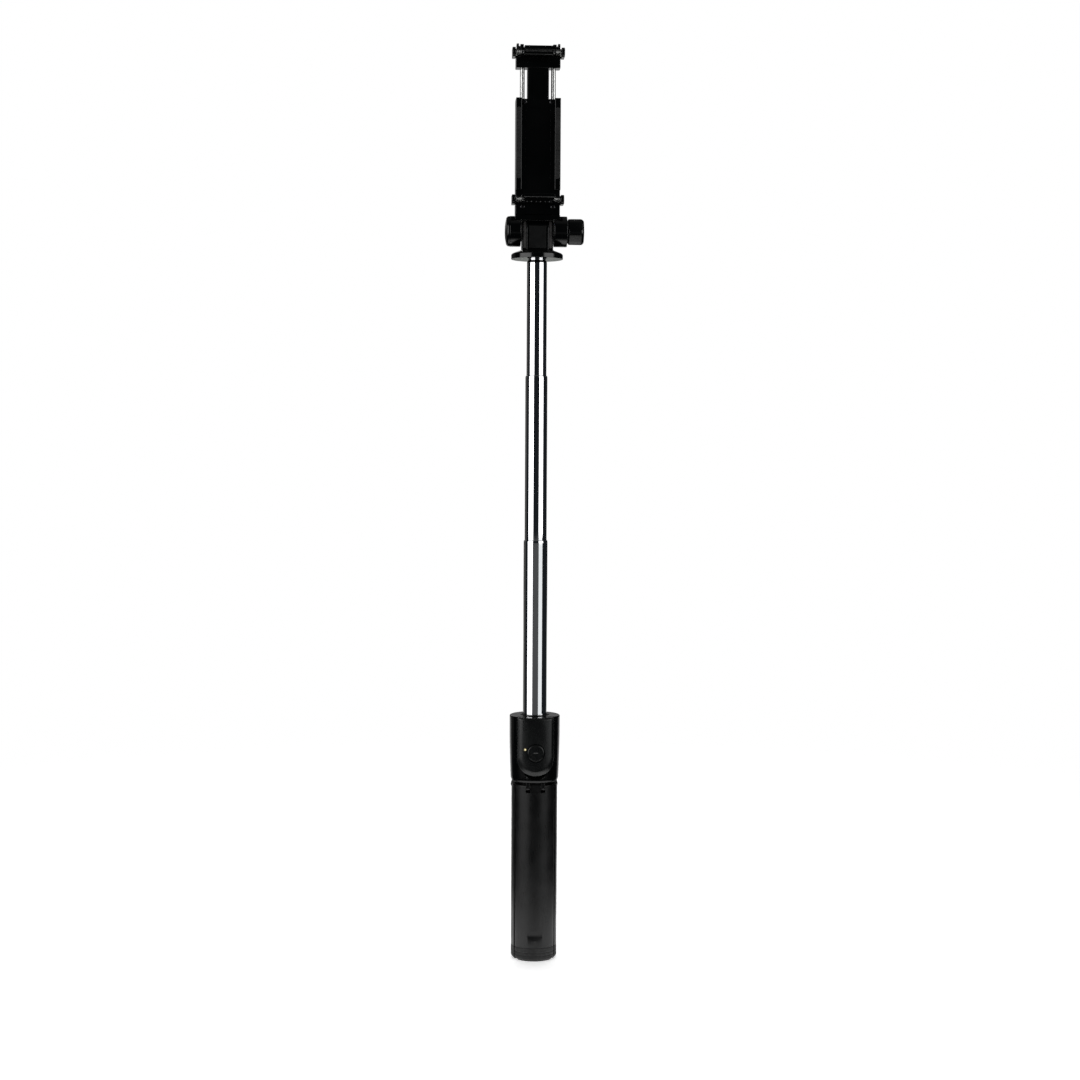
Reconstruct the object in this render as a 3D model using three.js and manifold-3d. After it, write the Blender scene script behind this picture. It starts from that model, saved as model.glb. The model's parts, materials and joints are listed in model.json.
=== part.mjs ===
// A hand-held selfie stick: a tripod handle with a docked shutter remote, a telescopic steel pole
// and a sprung phone clamp on a tilting head. Millimetres, +Z up along the pole, the phone side
// faces -Y, and the origin is the centre of the circle that the three closed feet stand on.
import * as THREE from "three";
import { mergeVertices } from "three/addons/utils/BufferGeometryUtils.js";
import Module from "manifold-3d";

const wasm = await Module();
wasm.setup();

// ---------- driving dimensions ----------

const FIT = 0.05; // gap left between neighbouring pieces that don't move on each other
const RUN = 0.09; // gap round a bore that its shaft turns in

// Handle.
const HANDLE_TOP = 128;
const HOUSING_BOTTOM = 94;
const HOUSING_RADIUS = 13.1;
const HOUSING_BORE = 11.2;
const GRIP_RADIUS = 12;
const GUIDE_BORE = 6.75; // the hub's sleeve, which the pole's lowest bush slides in
const GUIDE_RADIUS = 7.5;
const GUIDE_BOTTOM = 86.6;
const GUIDE_TOP = 122;
const HUB_PLATE_RADIUS = 10.9;
const HUB_PLATE_TOP = 95.4;

// Pole sections from the widest to the narrowest: outer radius, height of the top end, length.
const SECTIONS = [
  { radius: 6.2, top: 219.4, length: 119 },
  { radius: 5.7, top: 304.7, length: 113 },
  { radius: 5.15, top: 363.9, length: 107 },
  { radius: 4.6, top: 367.6, length: 104.6 },
];
const TUBE_WALL = 0.3;
const NECK_GAP = 0.06;
const ROUND = 24; // sides of the large round pieces, all in step so that facets stay parallel
const SMALL_ROUND = 12;

// Legs.
const LEG_COUNT = 3;
const LEG_PIN_RADIUS = 0.75;
const LEG_KNUCKLE_RADIUS = 1.9;
const LEG_KNUCKLE_HALF = 2.9;
const LEG_AXIS_OUT = 9.7; // pin axis to the pole's axis
const LEG_AXIS_UP = 91.4;
const LEG_BORE = 7.8;
const LEG_WALL = 1.5;
const LEG_BAYS = 3;
const LEG_TOP = 88.6;
const LEG_SKIRT_TOP = 92.3;
const FOOT_HEIGHT = 7;
const LEG_SPREAD = THREE.MathUtils.degToRad(58.4); // half of one leg's share of the circle

// Shutter remote.
const REMOTE_HALF = 9.5;
const REMOTE_HEIGHT = 31;
const REMOTE_BACK = -8.3;
const REMOTE_CROWN = 14.5;
const REMOTE_FRONT = -13.25;
const REMOTE_SPLIT = -9.4;
const DOCK_FLOOR = -8.2;
const DOCK_GAP = 0.15;
const BUTTON_RADIUS = 4.4;
const BUTTON_UP = 109.6;
const LIGHT_ACROSS = -5.6;
const LIGHT_UP = BUTTON_UP + 1.8;
const LIGHT_RADIUS = 0.7;
const CELL_RADIUS = 6.25;
const CELL_UP = 119.2;
const BOARD_BACK = -10.75;
const BOARD_FRONT = -11.35;

// Head.
const DISC_RADIUS = 13.35;
const DISC_BOTTOM = 364.5;
const DISC_TOP = 369;
const HINGE_UP = 378.8;
const YOKE_HALF = 8;
const YOKE_RADIUS = 5.9;
const YOKE_DEPTH = 5.5; // half the yoke's depth below its round top
const LOBE_RADIUS = 7.85;
const LOBE_INNER = 8.6;
const BOLT_RADIUS = 2;
const BOLT_HEAD_RADIUS = 3.6;
const WASHER = 0.5;
const RIVET_RADIUS = 1.5;
const PLUG_LENGTH = 14;
const KNOB_INNER = 15.7;
const KNOB_OUTER = 24;

// Phone clamp.
const CLAMP_HALF = 11.45;
const CLAMP_BOTTOM = 387;
const CLAMP_TOP = 446;
const CLAMP_BACK = 5.4;
const CAVITY_TOP = 443;
const STEM_BACK = 4.5;
const TILT_ROOM = 0.5; // gap between the clamp's stem and the round top that it swings over
const STEM_EDGE_UP = 5.6; // the stem's lower edge above the hinge, clear of the yoke's flanks
const RAIL_FRONT = -7.4;
const CHANNEL_FLOOR = -3.9;
const COVER_BACK = -2.65;
const CHANNEL_HALF = 8.5;
const JAW_AXIS_OUT = -5.6;
const LOWER_JAW_UP = 394.6;
const UPPER_JAW_UP = 469.3;
const JAW_HALF = 7.65;
const EAR_INNER = 11.75;
const EAR_OUTER = 13.4;
const EAR_RADIUS = 2.4;
const STOP_TOP = 473.8;
const PIN_RADIUS = 0.9;
const SLIDER_HEAD_BOTTOM = 462;
const PLATE_BOTTOM = 418;
const ROD_OUT = 8;
const ROD_BACK = 0.8;
const ROD_RADIUS = 1.2;
const ROD_TOP = 466;
const ROD_FOOT = 1.2; // height of the formed foot that the clamp's spring stands on

// ---------- solids ----------

// A closed three.js geometry as a solid that can be joined and cut.
function solid(geometry) {
  const bare = geometry.clone();
  bare.deleteAttribute("normal");
  bare.deleteAttribute("uv");
  const merged = mergeVertices(bare, 1e-4);
  return new wasm.Manifold(
    new wasm.Mesh({
      numProp: 3,
      vertProperties: new Float32Array(merged.attributes.position.array),
      triVerts: new Uint32Array(merged.index.array),
    }),
  );
}

function geometryOf(made) {
  const mesh = made.getMesh();
  const geometry = new THREE.BufferGeometry();
  geometry.setAttribute("position", new THREE.BufferAttribute(mesh.vertProperties, 3));
  geometry.setIndex(new THREE.BufferAttribute(mesh.triVerts, 1));
  geometry.computeVertexNormals();
  return geometry;
}

function box([x0, x1], [y0, y1], [z0, z1]) {
  const geometry = new THREE.BoxGeometry(x1 - x0, y1 - y0, z1 - z0);
  return solid(geometry.translate((x0 + x1) / 2, (y0 + y1) / 2, (z0 + z1) / 2));
}

// A solid of revolution about the Z axis from [radius, height] points.
function turned(points, sides = ROUND) {
  const ends = [points[0], points[points.length - 1]];
  const outline = points.map(([r, z]) => new THREE.Vector2(r, z));
  if (ends.some(([r]) => r > 0)) {
    outline.push(outline[0].clone());
  }
  return solid(new THREE.LatheGeometry(outline, sides).rotateX(Math.PI / 2));
}

function disc(radius, [z0, z1], sides = ROUND) {
  return turned([[0, z0], [radius, z0], [radius, z1], [0, z1]], sides);
}

function ring(inner, outer, [z0, z1], sides = ROUND) {
  return turned([[inner, z0], [outer, z0], [outer, z1], [inner, z1]], sides);
}

// A round bar along X or Y, from its radius and its span, centred on the two other coordinates.
function barX(radius, [x0, x1], y, z, sides = SMALL_ROUND) {
  return disc(radius, [x0, x1], sides).rotate([0, 90, 0]).translate([0, y, z]);
}

function barY(radius, [y0, y1], x, z, sides = SMALL_ROUND) {
  return disc(radius, [-y1, -y0], sides).rotate([90, 0, 0]).translate([x, 0, z]);
}

// A closed outline of [across, up] points, pushed along Z, X or Y over a span.
function prismZ(points, [z0, z1]) {
  const shape = new THREE.Shape(points.map(([x, y]) => new THREE.Vector2(x, y)));
  const geometry = new THREE.ExtrudeGeometry(shape, { depth: z1 - z0, bevelEnabled: false });
  return solid(geometry.translate(0, 0, z0));
}

function prismX(points, [x0, x1]) {
  return prismZ(points, [x0, x1]).rotate([90, 0, 90]);
}

function prismY(points, [y0, y1]) {
  return prismZ(points, [-y1, -y0]).rotate([90, 0, 0]);
}

// Points of an arc about a centre, between two angles in radians.
function arc([cx, cy], radius, from, to, steps) {
  return Array.from({ length: steps + 1 }, (_, i) => {
    const angle = from + ((to - from) * i) / steps;
    return [cx + radius * Math.cos(angle), cy + radius * Math.sin(angle)];
  });
}

function cut(body, ...tools) {
  return tools.reduce((left, tool) => left.subtract(tool), body);
}

function join(body, ...others) {
  return others.reduce((left, other) => left.add(other), body);
}

function mirrored(made) {
  return [made, made.mirror([1, 0, 0])];
}

// ---------- materials and meshes ----------

const FINISHES = {
  satinBlack: { color: 0x17181a, roughness: 0.42, metalness: 0 },
  softBlack: { color: 0x242629, roughness: 0.55, metalness: 0 },
  rubber: { color: 0x1b1b1c, roughness: 0.85, metalness: 0 },
  chrome: { color: 0xd9dbde, roughness: 0.08, metalness: 1 },
  steel: { color: 0x9fa2a6, roughness: 0.3, metalness: 1 },
  brass: { color: 0xb59a55, roughness: 0.35, metalness: 1 },
  nylon: { color: 0xc9c9c4, roughness: 0.6, metalness: 0 },
  board: { color: 0x1d5b34, roughness: 0.6, metalness: 0 },
  lens: { color: 0xe8e2b4, roughness: 0.15, metalness: 0 },
};

function piece(name, made, finish, group) {
  const mesh = new THREE.Mesh(geometryOf(made), new THREE.MeshStandardMaterial(FINISHES[finish]));
  mesh.name = name;
  group.add(mesh);
  return mesh;
}

function groupAt(parent, x = 0, y = 0, z = 0) {
  const group = new THREE.Group();
  group.position.set(x, y, z);
  parent.add(group);
  return group;
}

// ---------- handle ----------

// The remote's outline seen from the front: square at the top and half round at the bottom.
function remoteOutline(grow, top = HANDLE_TOP) {
  const half = REMOTE_HALF + grow;
  const centre = HANDLE_TOP - REMOTE_HEIGHT + REMOTE_HALF;
  return [[half, top], [-half, top], ...arc([0, centre], half, Math.PI, 2 * Math.PI, 14)];
}

function upperHousing() {
  const skin = turned([
    [0, HOUSING_BOTTOM],
    [12, HOUSING_BOTTOM],
    [12.35, HOUSING_BOTTOM + 1],
    [12.7, 102],
    [HOUSING_RADIUS, 116],
    [HOUSING_RADIUS, HANDLE_TOP - 0.5],
    [HOUSING_RADIUS - 0.5, HANDLE_TOP],
    [0, HANDLE_TOP],
  ]);
  const dockBlock = box([-10.9, 10.9], [-14, -6.6], [95.5, HANDLE_TOP]);
  const hollow = disc(HOUSING_BORE, [HOUSING_BOTTOM - 1, HANDLE_TOP - 2.4]).subtract(dockBlock);
  const dock = prismY(remoteOutline(DOCK_GAP, HANDLE_TOP + 1), [-20, DOCK_FLOOR]);
  const sleeve = disc(GUIDE_RADIUS + FIT, [HOUSING_BOTTOM - 1, HANDLE_TOP + 1]);
  return cut(skin, hollow, dock, sleeve);
}

function topGuideRing() {
  return ring(SECTIONS[0].radius + NECK_GAP, GUIDE_RADIUS, [GUIDE_TOP + 0.1, HANDLE_TOP + 0.3]);
}

// One hinge lug of the hub, beside a leg's knuckle, drawn for the leg that points along +X.
function hubLug() {
  const [inner, outer] = [LEG_KNUCKLE_HALF + 0.15, 4.8];
  const eye = disc(LEG_KNUCKLE_RADIUS, [inner, outer]).rotate([-90, 0, 0]);
  const neck = box(
    [GUIDE_RADIUS - 0.4, LEG_AXIS_OUT + LEG_KNUCKLE_RADIUS],
    [inner, outer],
    [LEG_AXIS_UP, HOUSING_BOTTOM + 0.5],
  );
  return eye.translate([LEG_AXIS_OUT, 0, LEG_AXIS_UP]).add(neck);
}

function pinBar(radius, half) {
  return disc(radius, [-half, half], SMALL_ROUND).rotate([-90, 0, 0]);
}

function legAngle(index) {
  return 360 * (index / LEG_COUNT) - 90;
}

function legHub() {
  const sleeve = disc(GUIDE_RADIUS, [GUIDE_BOTTOM, GUIDE_TOP]);
  const plate = disc(HUB_PLATE_RADIUS, [HOUSING_BOTTOM + 0.15, HUB_PLATE_TOP]);
  const lug = hubLug();
  const bore = pinBar(LEG_PIN_RADIUS + FIT, 6).translate([LEG_AXIS_OUT, 0, LEG_AXIS_UP]);
  let hub = sleeve.add(plate);
  for (let i = 0; i < LEG_COUNT; i++) {
    const pair = cut(lug.add(lug.mirror([0, 1, 0])), bore);
    hub = hub.add(pair.rotate([0, 0, legAngle(i)]));
  }
  const below = disc(GRIP_RADIUS - 0.1, [80, HOUSING_BOTTOM - 0.15]);
  const inside = disc(HUB_PLATE_RADIUS, [HOUSING_BOTTOM - 1, HANDLE_TOP]);
  return cut(hub.intersect(join(below, inside)), disc(GUIDE_BORE, [80, HANDLE_TOP]));
}

// One leg's share of the grip, between an inner and an outer radius, along +X.
function legSector(inner, outer, spread, span) {
  const outside = arc([0, 0], outer, -spread, spread, 10);
  const inside = arc([0, 0], inner, spread, -spread, 6);
  return prismZ([...outside, ...inside], span);
}

// The thin outer wall that runs on above the channel, open in front of the hub's lugs.
function legSkirt() {
  const wall = legSector(GRIP_RADIUS - LEG_WALL, GRIP_RADIUS, LEG_SPREAD, [LEG_TOP - 1, LEG_SKIRT_TOP]);
  return wall.subtract(box([5, GRIP_RADIUS + 1], [-5, 5], [LEG_TOP, LEG_SKIRT_TOP + 1]));
}

// The peg at a leg's lower end, grown by a gap for the slot that it sits in.
function footPeg(grow, span) {
  return box([8.9 - grow, 10.7 + grow], [-3 - grow, 3 + grow], span);
}

// A leg, drawn about its pin: a ribbed channel with a knuckle at its upper end.
function leg() {
  const body = legSector(LEG_BORE, GRIP_RADIUS, LEG_SPREAD, [FOOT_HEIGHT, LEG_TOP]);
  const [solidFoot, solidTop] = [4, 2];
  const bay = (LEG_TOP - FOOT_HEIGHT - solidFoot - solidTop) / LEG_BAYS;
  const bays = Array.from({ length: LEG_BAYS }, (_, i) => {
    const low = FOOT_HEIGHT + solidFoot + i * bay;
    const spread = LEG_SPREAD - LEG_WALL / LEG_BORE;
    return legSector(LEG_BORE - 1, GRIP_RADIUS - LEG_WALL, spread, [low, low + bay - LEG_WALL]);
  });
  const peg = footPeg(0, [FOOT_HEIGHT - 4, FOOT_HEIGHT + 1]);
  const eye = disc(LEG_KNUCKLE_RADIUS, [-LEG_KNUCKLE_HALF, LEG_KNUCKLE_HALF]).rotate([-90, 0, 0]);
  const web = box(
    [LEG_AXIS_OUT - LEG_KNUCKLE_RADIUS, LEG_AXIS_OUT + LEG_KNUCKLE_RADIUS],
    [-LEG_KNUCKLE_HALF, LEG_KNUCKLE_HALF],
    [LEG_TOP - 2, LEG_AXIS_UP],
  );
  const knuckle = eye.translate([LEG_AXIS_OUT, 0, LEG_AXIS_UP]).add(web);
  const bore = pinBar(LEG_PIN_RADIUS + FIT, 6).translate([LEG_AXIS_OUT, 0, LEG_AXIS_UP]);
  const made = cut(join(cut(body, ...bays), legSkirt(), peg, knuckle), bore);
  return made.translate([-LEG_AXIS_OUT, 0, -LEG_AXIS_UP]);
}

function legFoot() {
  const pad = legSector(LEG_BORE, GRIP_RADIUS, LEG_SPREAD, [0, FOOT_HEIGHT - FIT]);
  const slot = footPeg(FIT, [FOOT_HEIGHT - 4.1, FOOT_HEIGHT + 1]);
  const chamfer = turned([
    [GRIP_RADIUS + 1, -1],
    [GRIP_RADIUS + 1, 1.5],
    [GRIP_RADIUS - 1.5, -1],
  ]);
  return cut(pad, slot, chamfer).translate([-LEG_AXIS_OUT, 0, -LEG_AXIS_UP]);
}

function addLegs(parent) {
  for (let i = 0; i < LEG_COUNT; i++) {
    const turn = groupAt(parent);
    turn.rotation.z = THREE.MathUtils.degToRad(legAngle(i));
    const hinge = groupAt(turn, LEG_AXIS_OUT, 0, LEG_AXIS_UP);
    piece(`leg_${i + 1}`, leg(), "satinBlack", hinge);
    piece(`leg_foot_${i + 1}`, legFoot(), "rubber", hinge);
    piece(`leg_pin_${i + 1}`, pinBar(LEG_PIN_RADIUS, 4.7), "steel", hinge);
  }
}

// ---------- shutter remote ----------

// The full remote between its back plane and a crowned front.
function remoteBlock(inset, back, top = HANDLE_TOP - 0.2) {
  const radius = REMOTE_CROWN - inset;
  const centreY = REMOTE_FRONT + REMOTE_CROWN;
  const crown = turned([[0, 90], [radius, 90], [radius, 130], [0, 130]], 48);
  const outline = prismY(remoteOutline(-inset, top - inset), [-20, back]);
  return outline.intersect(crown.translate([0, centreY, 0]));
}

function remoteFrontShell() {
  const shell = remoteBlock(0, REMOTE_SPLIT);
  const hollow = remoteBlock(1, REMOTE_SPLIT + 1);
  const buttonHole = barY(BUTTON_RADIUS + 0.1, [-15, -9], 0, BUTTON_UP, ROUND);
  const lightHole = barY(LIGHT_RADIUS + 0.06, [-15, -9], LIGHT_ACROSS, LIGHT_UP);
  return cut(shell, hollow, buttonHole, lightHole);
}

function remoteRearShell() {
  const plate = prismY(remoteOutline(0, HANDLE_TOP - 0.2), [REMOTE_SPLIT + FIT, REMOTE_BACK]);
  const cellWell = barY(CELL_RADIUS + 0.2, [-10, REMOTE_BACK - 0.6], 0, CELL_UP, ROUND);
  return cut(plate, cellWell);
}

// The button's cap, with two feet behind the shell that keep it in its hole.
function remoteButton() {
  const cap = barY(BUTTON_RADIUS, [REMOTE_FRONT - 0.1, -12.65], 0, BUTTON_UP, ROUND);
  const feet = [-1, 1].map((side) => {
    const span = (from, to) => [BUTTON_UP + side * from, BUTTON_UP + side * to].sort((a, b) => a - b);
    return box([-1.5, 1.5], [-12.7, -11.8], span(2.4, 4.2)).add(
      box([-1.5, 1.5], [-12.1, -11.8], span(2.4, 5.2)),
    );
  });
  return join(cap, ...feet);
}

function tactSwitch() {
  const body = box([-1.6, 1.6], [-11.85, BOARD_FRONT - FIT], [BUTTON_UP - 1.6, BUTTON_UP + 1.6]);
  return body.add(barY(0.8, [-12.2, -11.8], 0, BUTTON_UP));
}

// The light pipe beside the button, with its foot turned in to the circuit board.
function remoteLight() {
  const pipe = barY(LIGHT_RADIUS, [-12.35, -10.5], LIGHT_ACROSS, LIGHT_UP);
  const foot = box([-5.9, -4.5], [-10.75, -10.3], [LIGHT_UP - 0.45, LIGHT_UP + 0.45]);
  return pipe.add(foot);
}

function addRemote(parent) {
  const group = groupAt(parent);
  piece("remote_front_shell", remoteFrontShell(), "softBlack", group);
  piece("remote_rear_shell", remoteRearShell(), "softBlack", group);
  piece("remote_coin_cell", barY(CELL_RADIUS, [-10.6, -9], 0, CELL_UP, ROUND), "steel", group);
  const board = box([-4.4, 4.4], [BOARD_FRONT, BOARD_BACK], [100, 126.4]);
  piece("remote_circuit_board", board, "board", group);
  piece("remote_tact_switch", tactSwitch(), "steel", group);
  piece("remote_light", remoteLight(), "lens", group);
  piece("remote_button", remoteButton(), "softBlack", group);
}

// ---------- telescopic pole ----------

// A pole section with its top rolled in to a neck that the next section slides in.
function poleSection({ radius, length }, nextRadius) {
  const bore = radius - TUBE_WALL;
  const neck = nextRadius ? nextRadius + NECK_GAP : bore;
  return turned([
    [bore, 0],
    [radius, 0],
    [radius, length - 0.3],
    [radius - 0.12, length],
    [neck, length],
    [neck, length - 1.2],
    [bore, length - 1.5],
  ]);
}

// The bush clipped over a section's lower end, which rubs in the bore of the section outside it.
function poleBush({ radius }, boreOutside) {
  const [length, lip, snug] = [20, 2, 0.03];
  const bore = radius - TUBE_WALL;
  const rim = boreOutside - NECK_GAP;
  return turned([
    [bore - 1.2, -lip],
    [rim, -lip],
    [rim, length],
    [radius + snug, length],
    [radius + snug, -snug],
    [bore - snug, -snug],
    [bore - snug, 2 * lip],
    [bore - 1.2, 2 * lip],
  ]);
}

function addPole(parent) {
  SECTIONS.forEach((section, i) => {
    const group = groupAt(parent, 0, 0, section.top - section.length);
    const next = SECTIONS[i + 1];
    const boreOutside = i ? SECTIONS[i - 1].radius - TUBE_WALL : GUIDE_BORE - 0.04;
    piece(`pole_section_${i + 1}`, poleSection(section, next && next.radius), "chrome", group);
    piece(`pole_bush_${i + 1}`, poleBush(section, boreOutside), "nylon", group);
  });
}

// ---------- head ----------

// The plug in the narrowest section's top, and the rivet that the head turns on.
function addSwivel(parent) {
  const { radius, top } = SECTIONS[3];
  const plugFoot = top - PLUG_LENGTH;
  const seat = DISC_TOP + 5;
  const plug = ring(RIVET_RADIUS + FIT, radius - TUBE_WALL - FIT, [plugFoot, top]);
  piece("pole_top_plug", plug, "nylon", parent);
  const rivet = turned([
    [0, plugFoot - 0.6],
    [2.4, plugFoot - 0.6],
    [2.4, plugFoot - FIT],
    [RIVET_RADIUS, plugFoot - FIT],
    [RIVET_RADIUS, seat],
    [2.7, seat],
    [2.7, seat + 1],
    [2, seat + 1.5],
    [0, seat + 1.5],
  ], SMALL_ROUND);
  piece("swivel_rivet", rivet, "steel", parent);
}

// The yoke: a round top about the hinge on a shallower neck, recessed front and back between its ribs.
function yoke() {
  const across = [-YOKE_HALF, YOKE_HALF];
  const top = barX(YOKE_RADIUS, across, 0, HINGE_UP, ROUND);
  const neck = box(across, [-YOKE_DEPTH, YOKE_DEPTH], [DISC_TOP - 1, HINGE_UP]);
  const recess = (from, to) => box([-5.4, 5.4], [from, to], [DISC_TOP, HINGE_UP + YOKE_RADIUS]);
  return cut(top.add(neck), recess(-7, -5), recess(5, 7));
}

function headBase() {
  const flange = turned([
    [0, DISC_BOTTOM],
    [12.6, DISC_BOTTOM],
    [DISC_RADIUS, DISC_BOTTOM + 0.5],
    [DISC_RADIUS, DISC_BOTTOM + 2.4],
    [12.9, DISC_BOTTOM + 2.9],
    [8.6, DISC_TOP],
    [0, DISC_TOP],
  ], 40);
  const socket = disc(SECTIONS[3].radius + 0.08, [DISC_BOTTOM - 1, SECTIONS[3].top + 0.2]);
  const rivetBore = disc(RIVET_RADIUS + 0.1, [DISC_BOTTOM, DISC_TOP + 7], SMALL_ROUND);
  const rivetSeat = disc(2.9, [DISC_TOP + 4.9, DISC_TOP + 8.4], SMALL_ROUND);
  const hingeBore = barX(BOLT_RADIUS + RUN, [-10, 10], 0, HINGE_UP);
  return cut(flange.add(yoke()), socket, rivetBore, rivetSeat, hingeBore);
}

function addHead(parent) {
  piece("head_base", headBase(), "satinBlack", parent);
  const washer = ring(BOLT_RADIUS + RUN, 5.2, [YOKE_HALF + FIT, YOKE_HALF + WASHER], SMALL_ROUND);
  const [right, left] = mirrored(washer.rotate([0, 90, 0]).translate([0, 0, HINGE_UP]));
  piece("hinge_washer_right", right, "nylon", parent);
  piece("hinge_washer_left", left, "nylon", parent);
}

// ---------- hinge bolt and knob ----------

function hexBarX(radius, span, turn = 0) {
  return disc(radius, span, 6).rotate([0, 0, turn]).rotate([0, 90, 0]).translate([0, 0, HINGE_UP]);
}

function addHinge(parent) {
  const shank = barX(BOLT_RADIUS, [-13, 21.5], 0, HINGE_UP);
  piece("hinge_bolt", shank.add(hexBarX(BOLT_HEAD_RADIUS, [-14.2, -12.4])), "steel", parent);
  const dome = turned([[0, 14.35], [7.4, 14.35], [7.4, 14.9], [6.4, 15.9], [4, 16.5], [0, 16.7]]);
  const cap = dome.rotate([0, -90, 0]).translate([0, 0, HINGE_UP]);
  piece("hinge_cap", cap, "satinBlack", parent);
}

function addKnob(parent) {
  const round = turned([
    [0, KNOB_INNER],
    [6.5, KNOB_INNER],
    [7.25, KNOB_INNER + 0.8],
    [7.25, KNOB_OUTER - 1.2],
    [6.2, KNOB_OUTER],
    [0, KNOB_OUTER],
  ]).rotate([0, 90, 0]).translate([0, 0, HINGE_UP]);
  const knob = round.intersect(hexBarX(7.6, [KNOB_INNER - 1, KNOB_OUTER + 1], 15));
  const nutPocket = hexBarX(BOLT_HEAD_RADIUS, [KNOB_INNER - 1, 19.3]);
  const boltRoom = barX(BOLT_RADIUS + 0.3, [15, 22.2], 0, HINGE_UP);
  piece("hinge_knob", cut(knob, nutPocket, boltRoom), "softBlack", parent);
  const nut = cut(hexBarX(3.45, [15.9, 19.2]), barX(BOLT_RADIUS + RUN, [15, 20], 0, HINGE_UP));
  piece("knob_nut", nut, "brass", parent);
}

// ---------- phone clamp ----------

// The pair of clevis ears that carry a jaw's pin, with the bars that tie them to the body.
function jawEars(up) {
  const eye = barX(EAR_RADIUS, [EAR_INNER, EAR_OUTER], JAW_AXIS_OUT, up, ROUND);
  const arm = box([EAR_INNER, EAR_OUTER], [JAW_AXIS_OUT, 1], [up - EAR_RADIUS, up + EAR_RADIUS]);
  const tie = box([CLAMP_HALF - 0.5, EAR_OUTER], [-2, 1], [up - EAR_RADIUS, up + EAR_RADIUS]);
  return join(...mirrored(join(eye, arm, tie)));
}

function jawPinBore(up) {
  return barX(PIN_RADIUS + FIT, [-15, 15], JAW_AXIS_OUT, up);
}

// Room for the jaw's knuckle and its springs in front of the clamp.
function jawRoom(up) {
  return barX(2.35, [-EAR_INNER, EAR_INNER], JAW_AXIS_OUT, up, ROUND);
}

// The stem between the hinge barrels, open below where the yoke passes as the clamp tilts.
function clampStem() {
  const across = [-CLAMP_HALF, CLAMP_HALF];
  const stem = box(across, [COVER_BACK + FIT, STEM_BACK], [HINGE_UP, CLAMP_BOTTOM + 5]);
  const shoulders = box(across, [-CLAMP_BACK, STEM_BACK], [HINGE_UP, CLAMP_BOTTOM - 0.1]);
  const inside = [-LOBE_INNER, LOBE_INNER];
  const gap = box(inside, [-CLAMP_BACK - 1, STEM_BACK + 1], [HINGE_UP - 1, HINGE_UP + STEM_EDGE_UP]);
  return cut(join(stem, shoulders), gap, barX(YOKE_RADIUS + TILT_ROOM, inside, 0, HINGE_UP, ROUND));
}

function clampFrame() {
  const lobes = [
    barX(LOBE_RADIUS, [-14.3, -LOBE_INNER], 0, HINGE_UP, ROUND),
    barX(LOBE_RADIUS, [LOBE_INNER, 15.3], 0, HINGE_UP, ROUND),
  ];
  const body = box([-CLAMP_HALF, CLAMP_HALF], [COVER_BACK + FIT, CLAMP_BACK], [390, CLAMP_TOP]);
  const cavity = box([-10.2, 10.2], [-3, CLAMP_BACK - 1.2], [397, CAVITY_TOP]);
  const plateSlot = box([-5.75, 5.75], [-3, 1.95], [CAVITY_TOP - 1, CLAMP_TOP + 1]);
  const rodHole = disc(ROD_RADIUS + 0.1, [CAVITY_TOP - 1, CLAMP_TOP + 1], SMALL_ROUND);
  const screwHoles = coverScrewPlaces().map(([x, z, depth]) => barY(0.75, [-5, depth + 0.3], x, z));
  return cut(
    join(...lobes, clampStem(), body, jawEars(LOWER_JAW_UP)),
    cavity,
    plateSlot,
    ...mirrored(rodHole.translate([ROD_OUT, ROD_BACK, 0])),
    barX(BOLT_RADIUS + FIT, [-16, 16], 0, HINGE_UP),
    hexBarX(BOLT_HEAD_RADIUS + 0.15, [-15, -12.35]),
    jawPinBore(LOWER_JAW_UP),
    ...screwHoles,
  );
}

// Cover screws: across, up, and how deep the shank goes.
function coverScrewPlaces() {
  return [[-7.8, 391.1, 1.5], [7.8, 391.1, 1.5], [-7, 444.4, -1.3], [7, 444.4, -1.3]];
}

function clampFrontCover() {
  const upright = [CLAMP_BOTTOM + 0.1, CLAMP_TOP];
  const plate = box([-CLAMP_HALF, CLAMP_HALF], [CHANNEL_FLOOR, COVER_BACK], upright);
  const rails = mirrored(
    box([CHANNEL_HALF, CLAMP_HALF], [RAIL_FRONT, CHANNEL_FLOOR + 0.2], [399.4, CLAMP_TOP]),
  );
  const holes = coverScrewPlaces().map(([x, z]) => barY(0.75, [-5, -2], x, z));
  return cut(join(plate, ...rails), jawRoom(LOWER_JAW_UP), ...holes);
}

function coverScrew([x, z, depth]) {
  const head = barY(1.3, [CHANNEL_FLOOR - 0.7, CHANNEL_FLOOR - 0.02], x, z);
  const slot = box([x - 1, x + 1], [CHANNEL_FLOOR - 1, CHANNEL_FLOOR - 0.4], [z - 0.18, z + 0.18]);
  return cut(head.add(barY(0.7, [CHANNEL_FLOOR - 0.1, depth], x, z)), slot);
}

// Ribs on top of the slider, which the tails of the upper jaw's springs lie against.
function springStops() {
  const depth = [JAW_AXIS_OUT + 1, 1];
  const height = [UPPER_JAW_UP + 2.1, STOP_TOP];
  const outer = box([10, 11.2], depth, height);
  const inner = box([7.5, 9.3], depth, [height[0], STOP_TOP - 0.3]);
  return join(...mirrored(outer), ...mirrored(inner));
}

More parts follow.
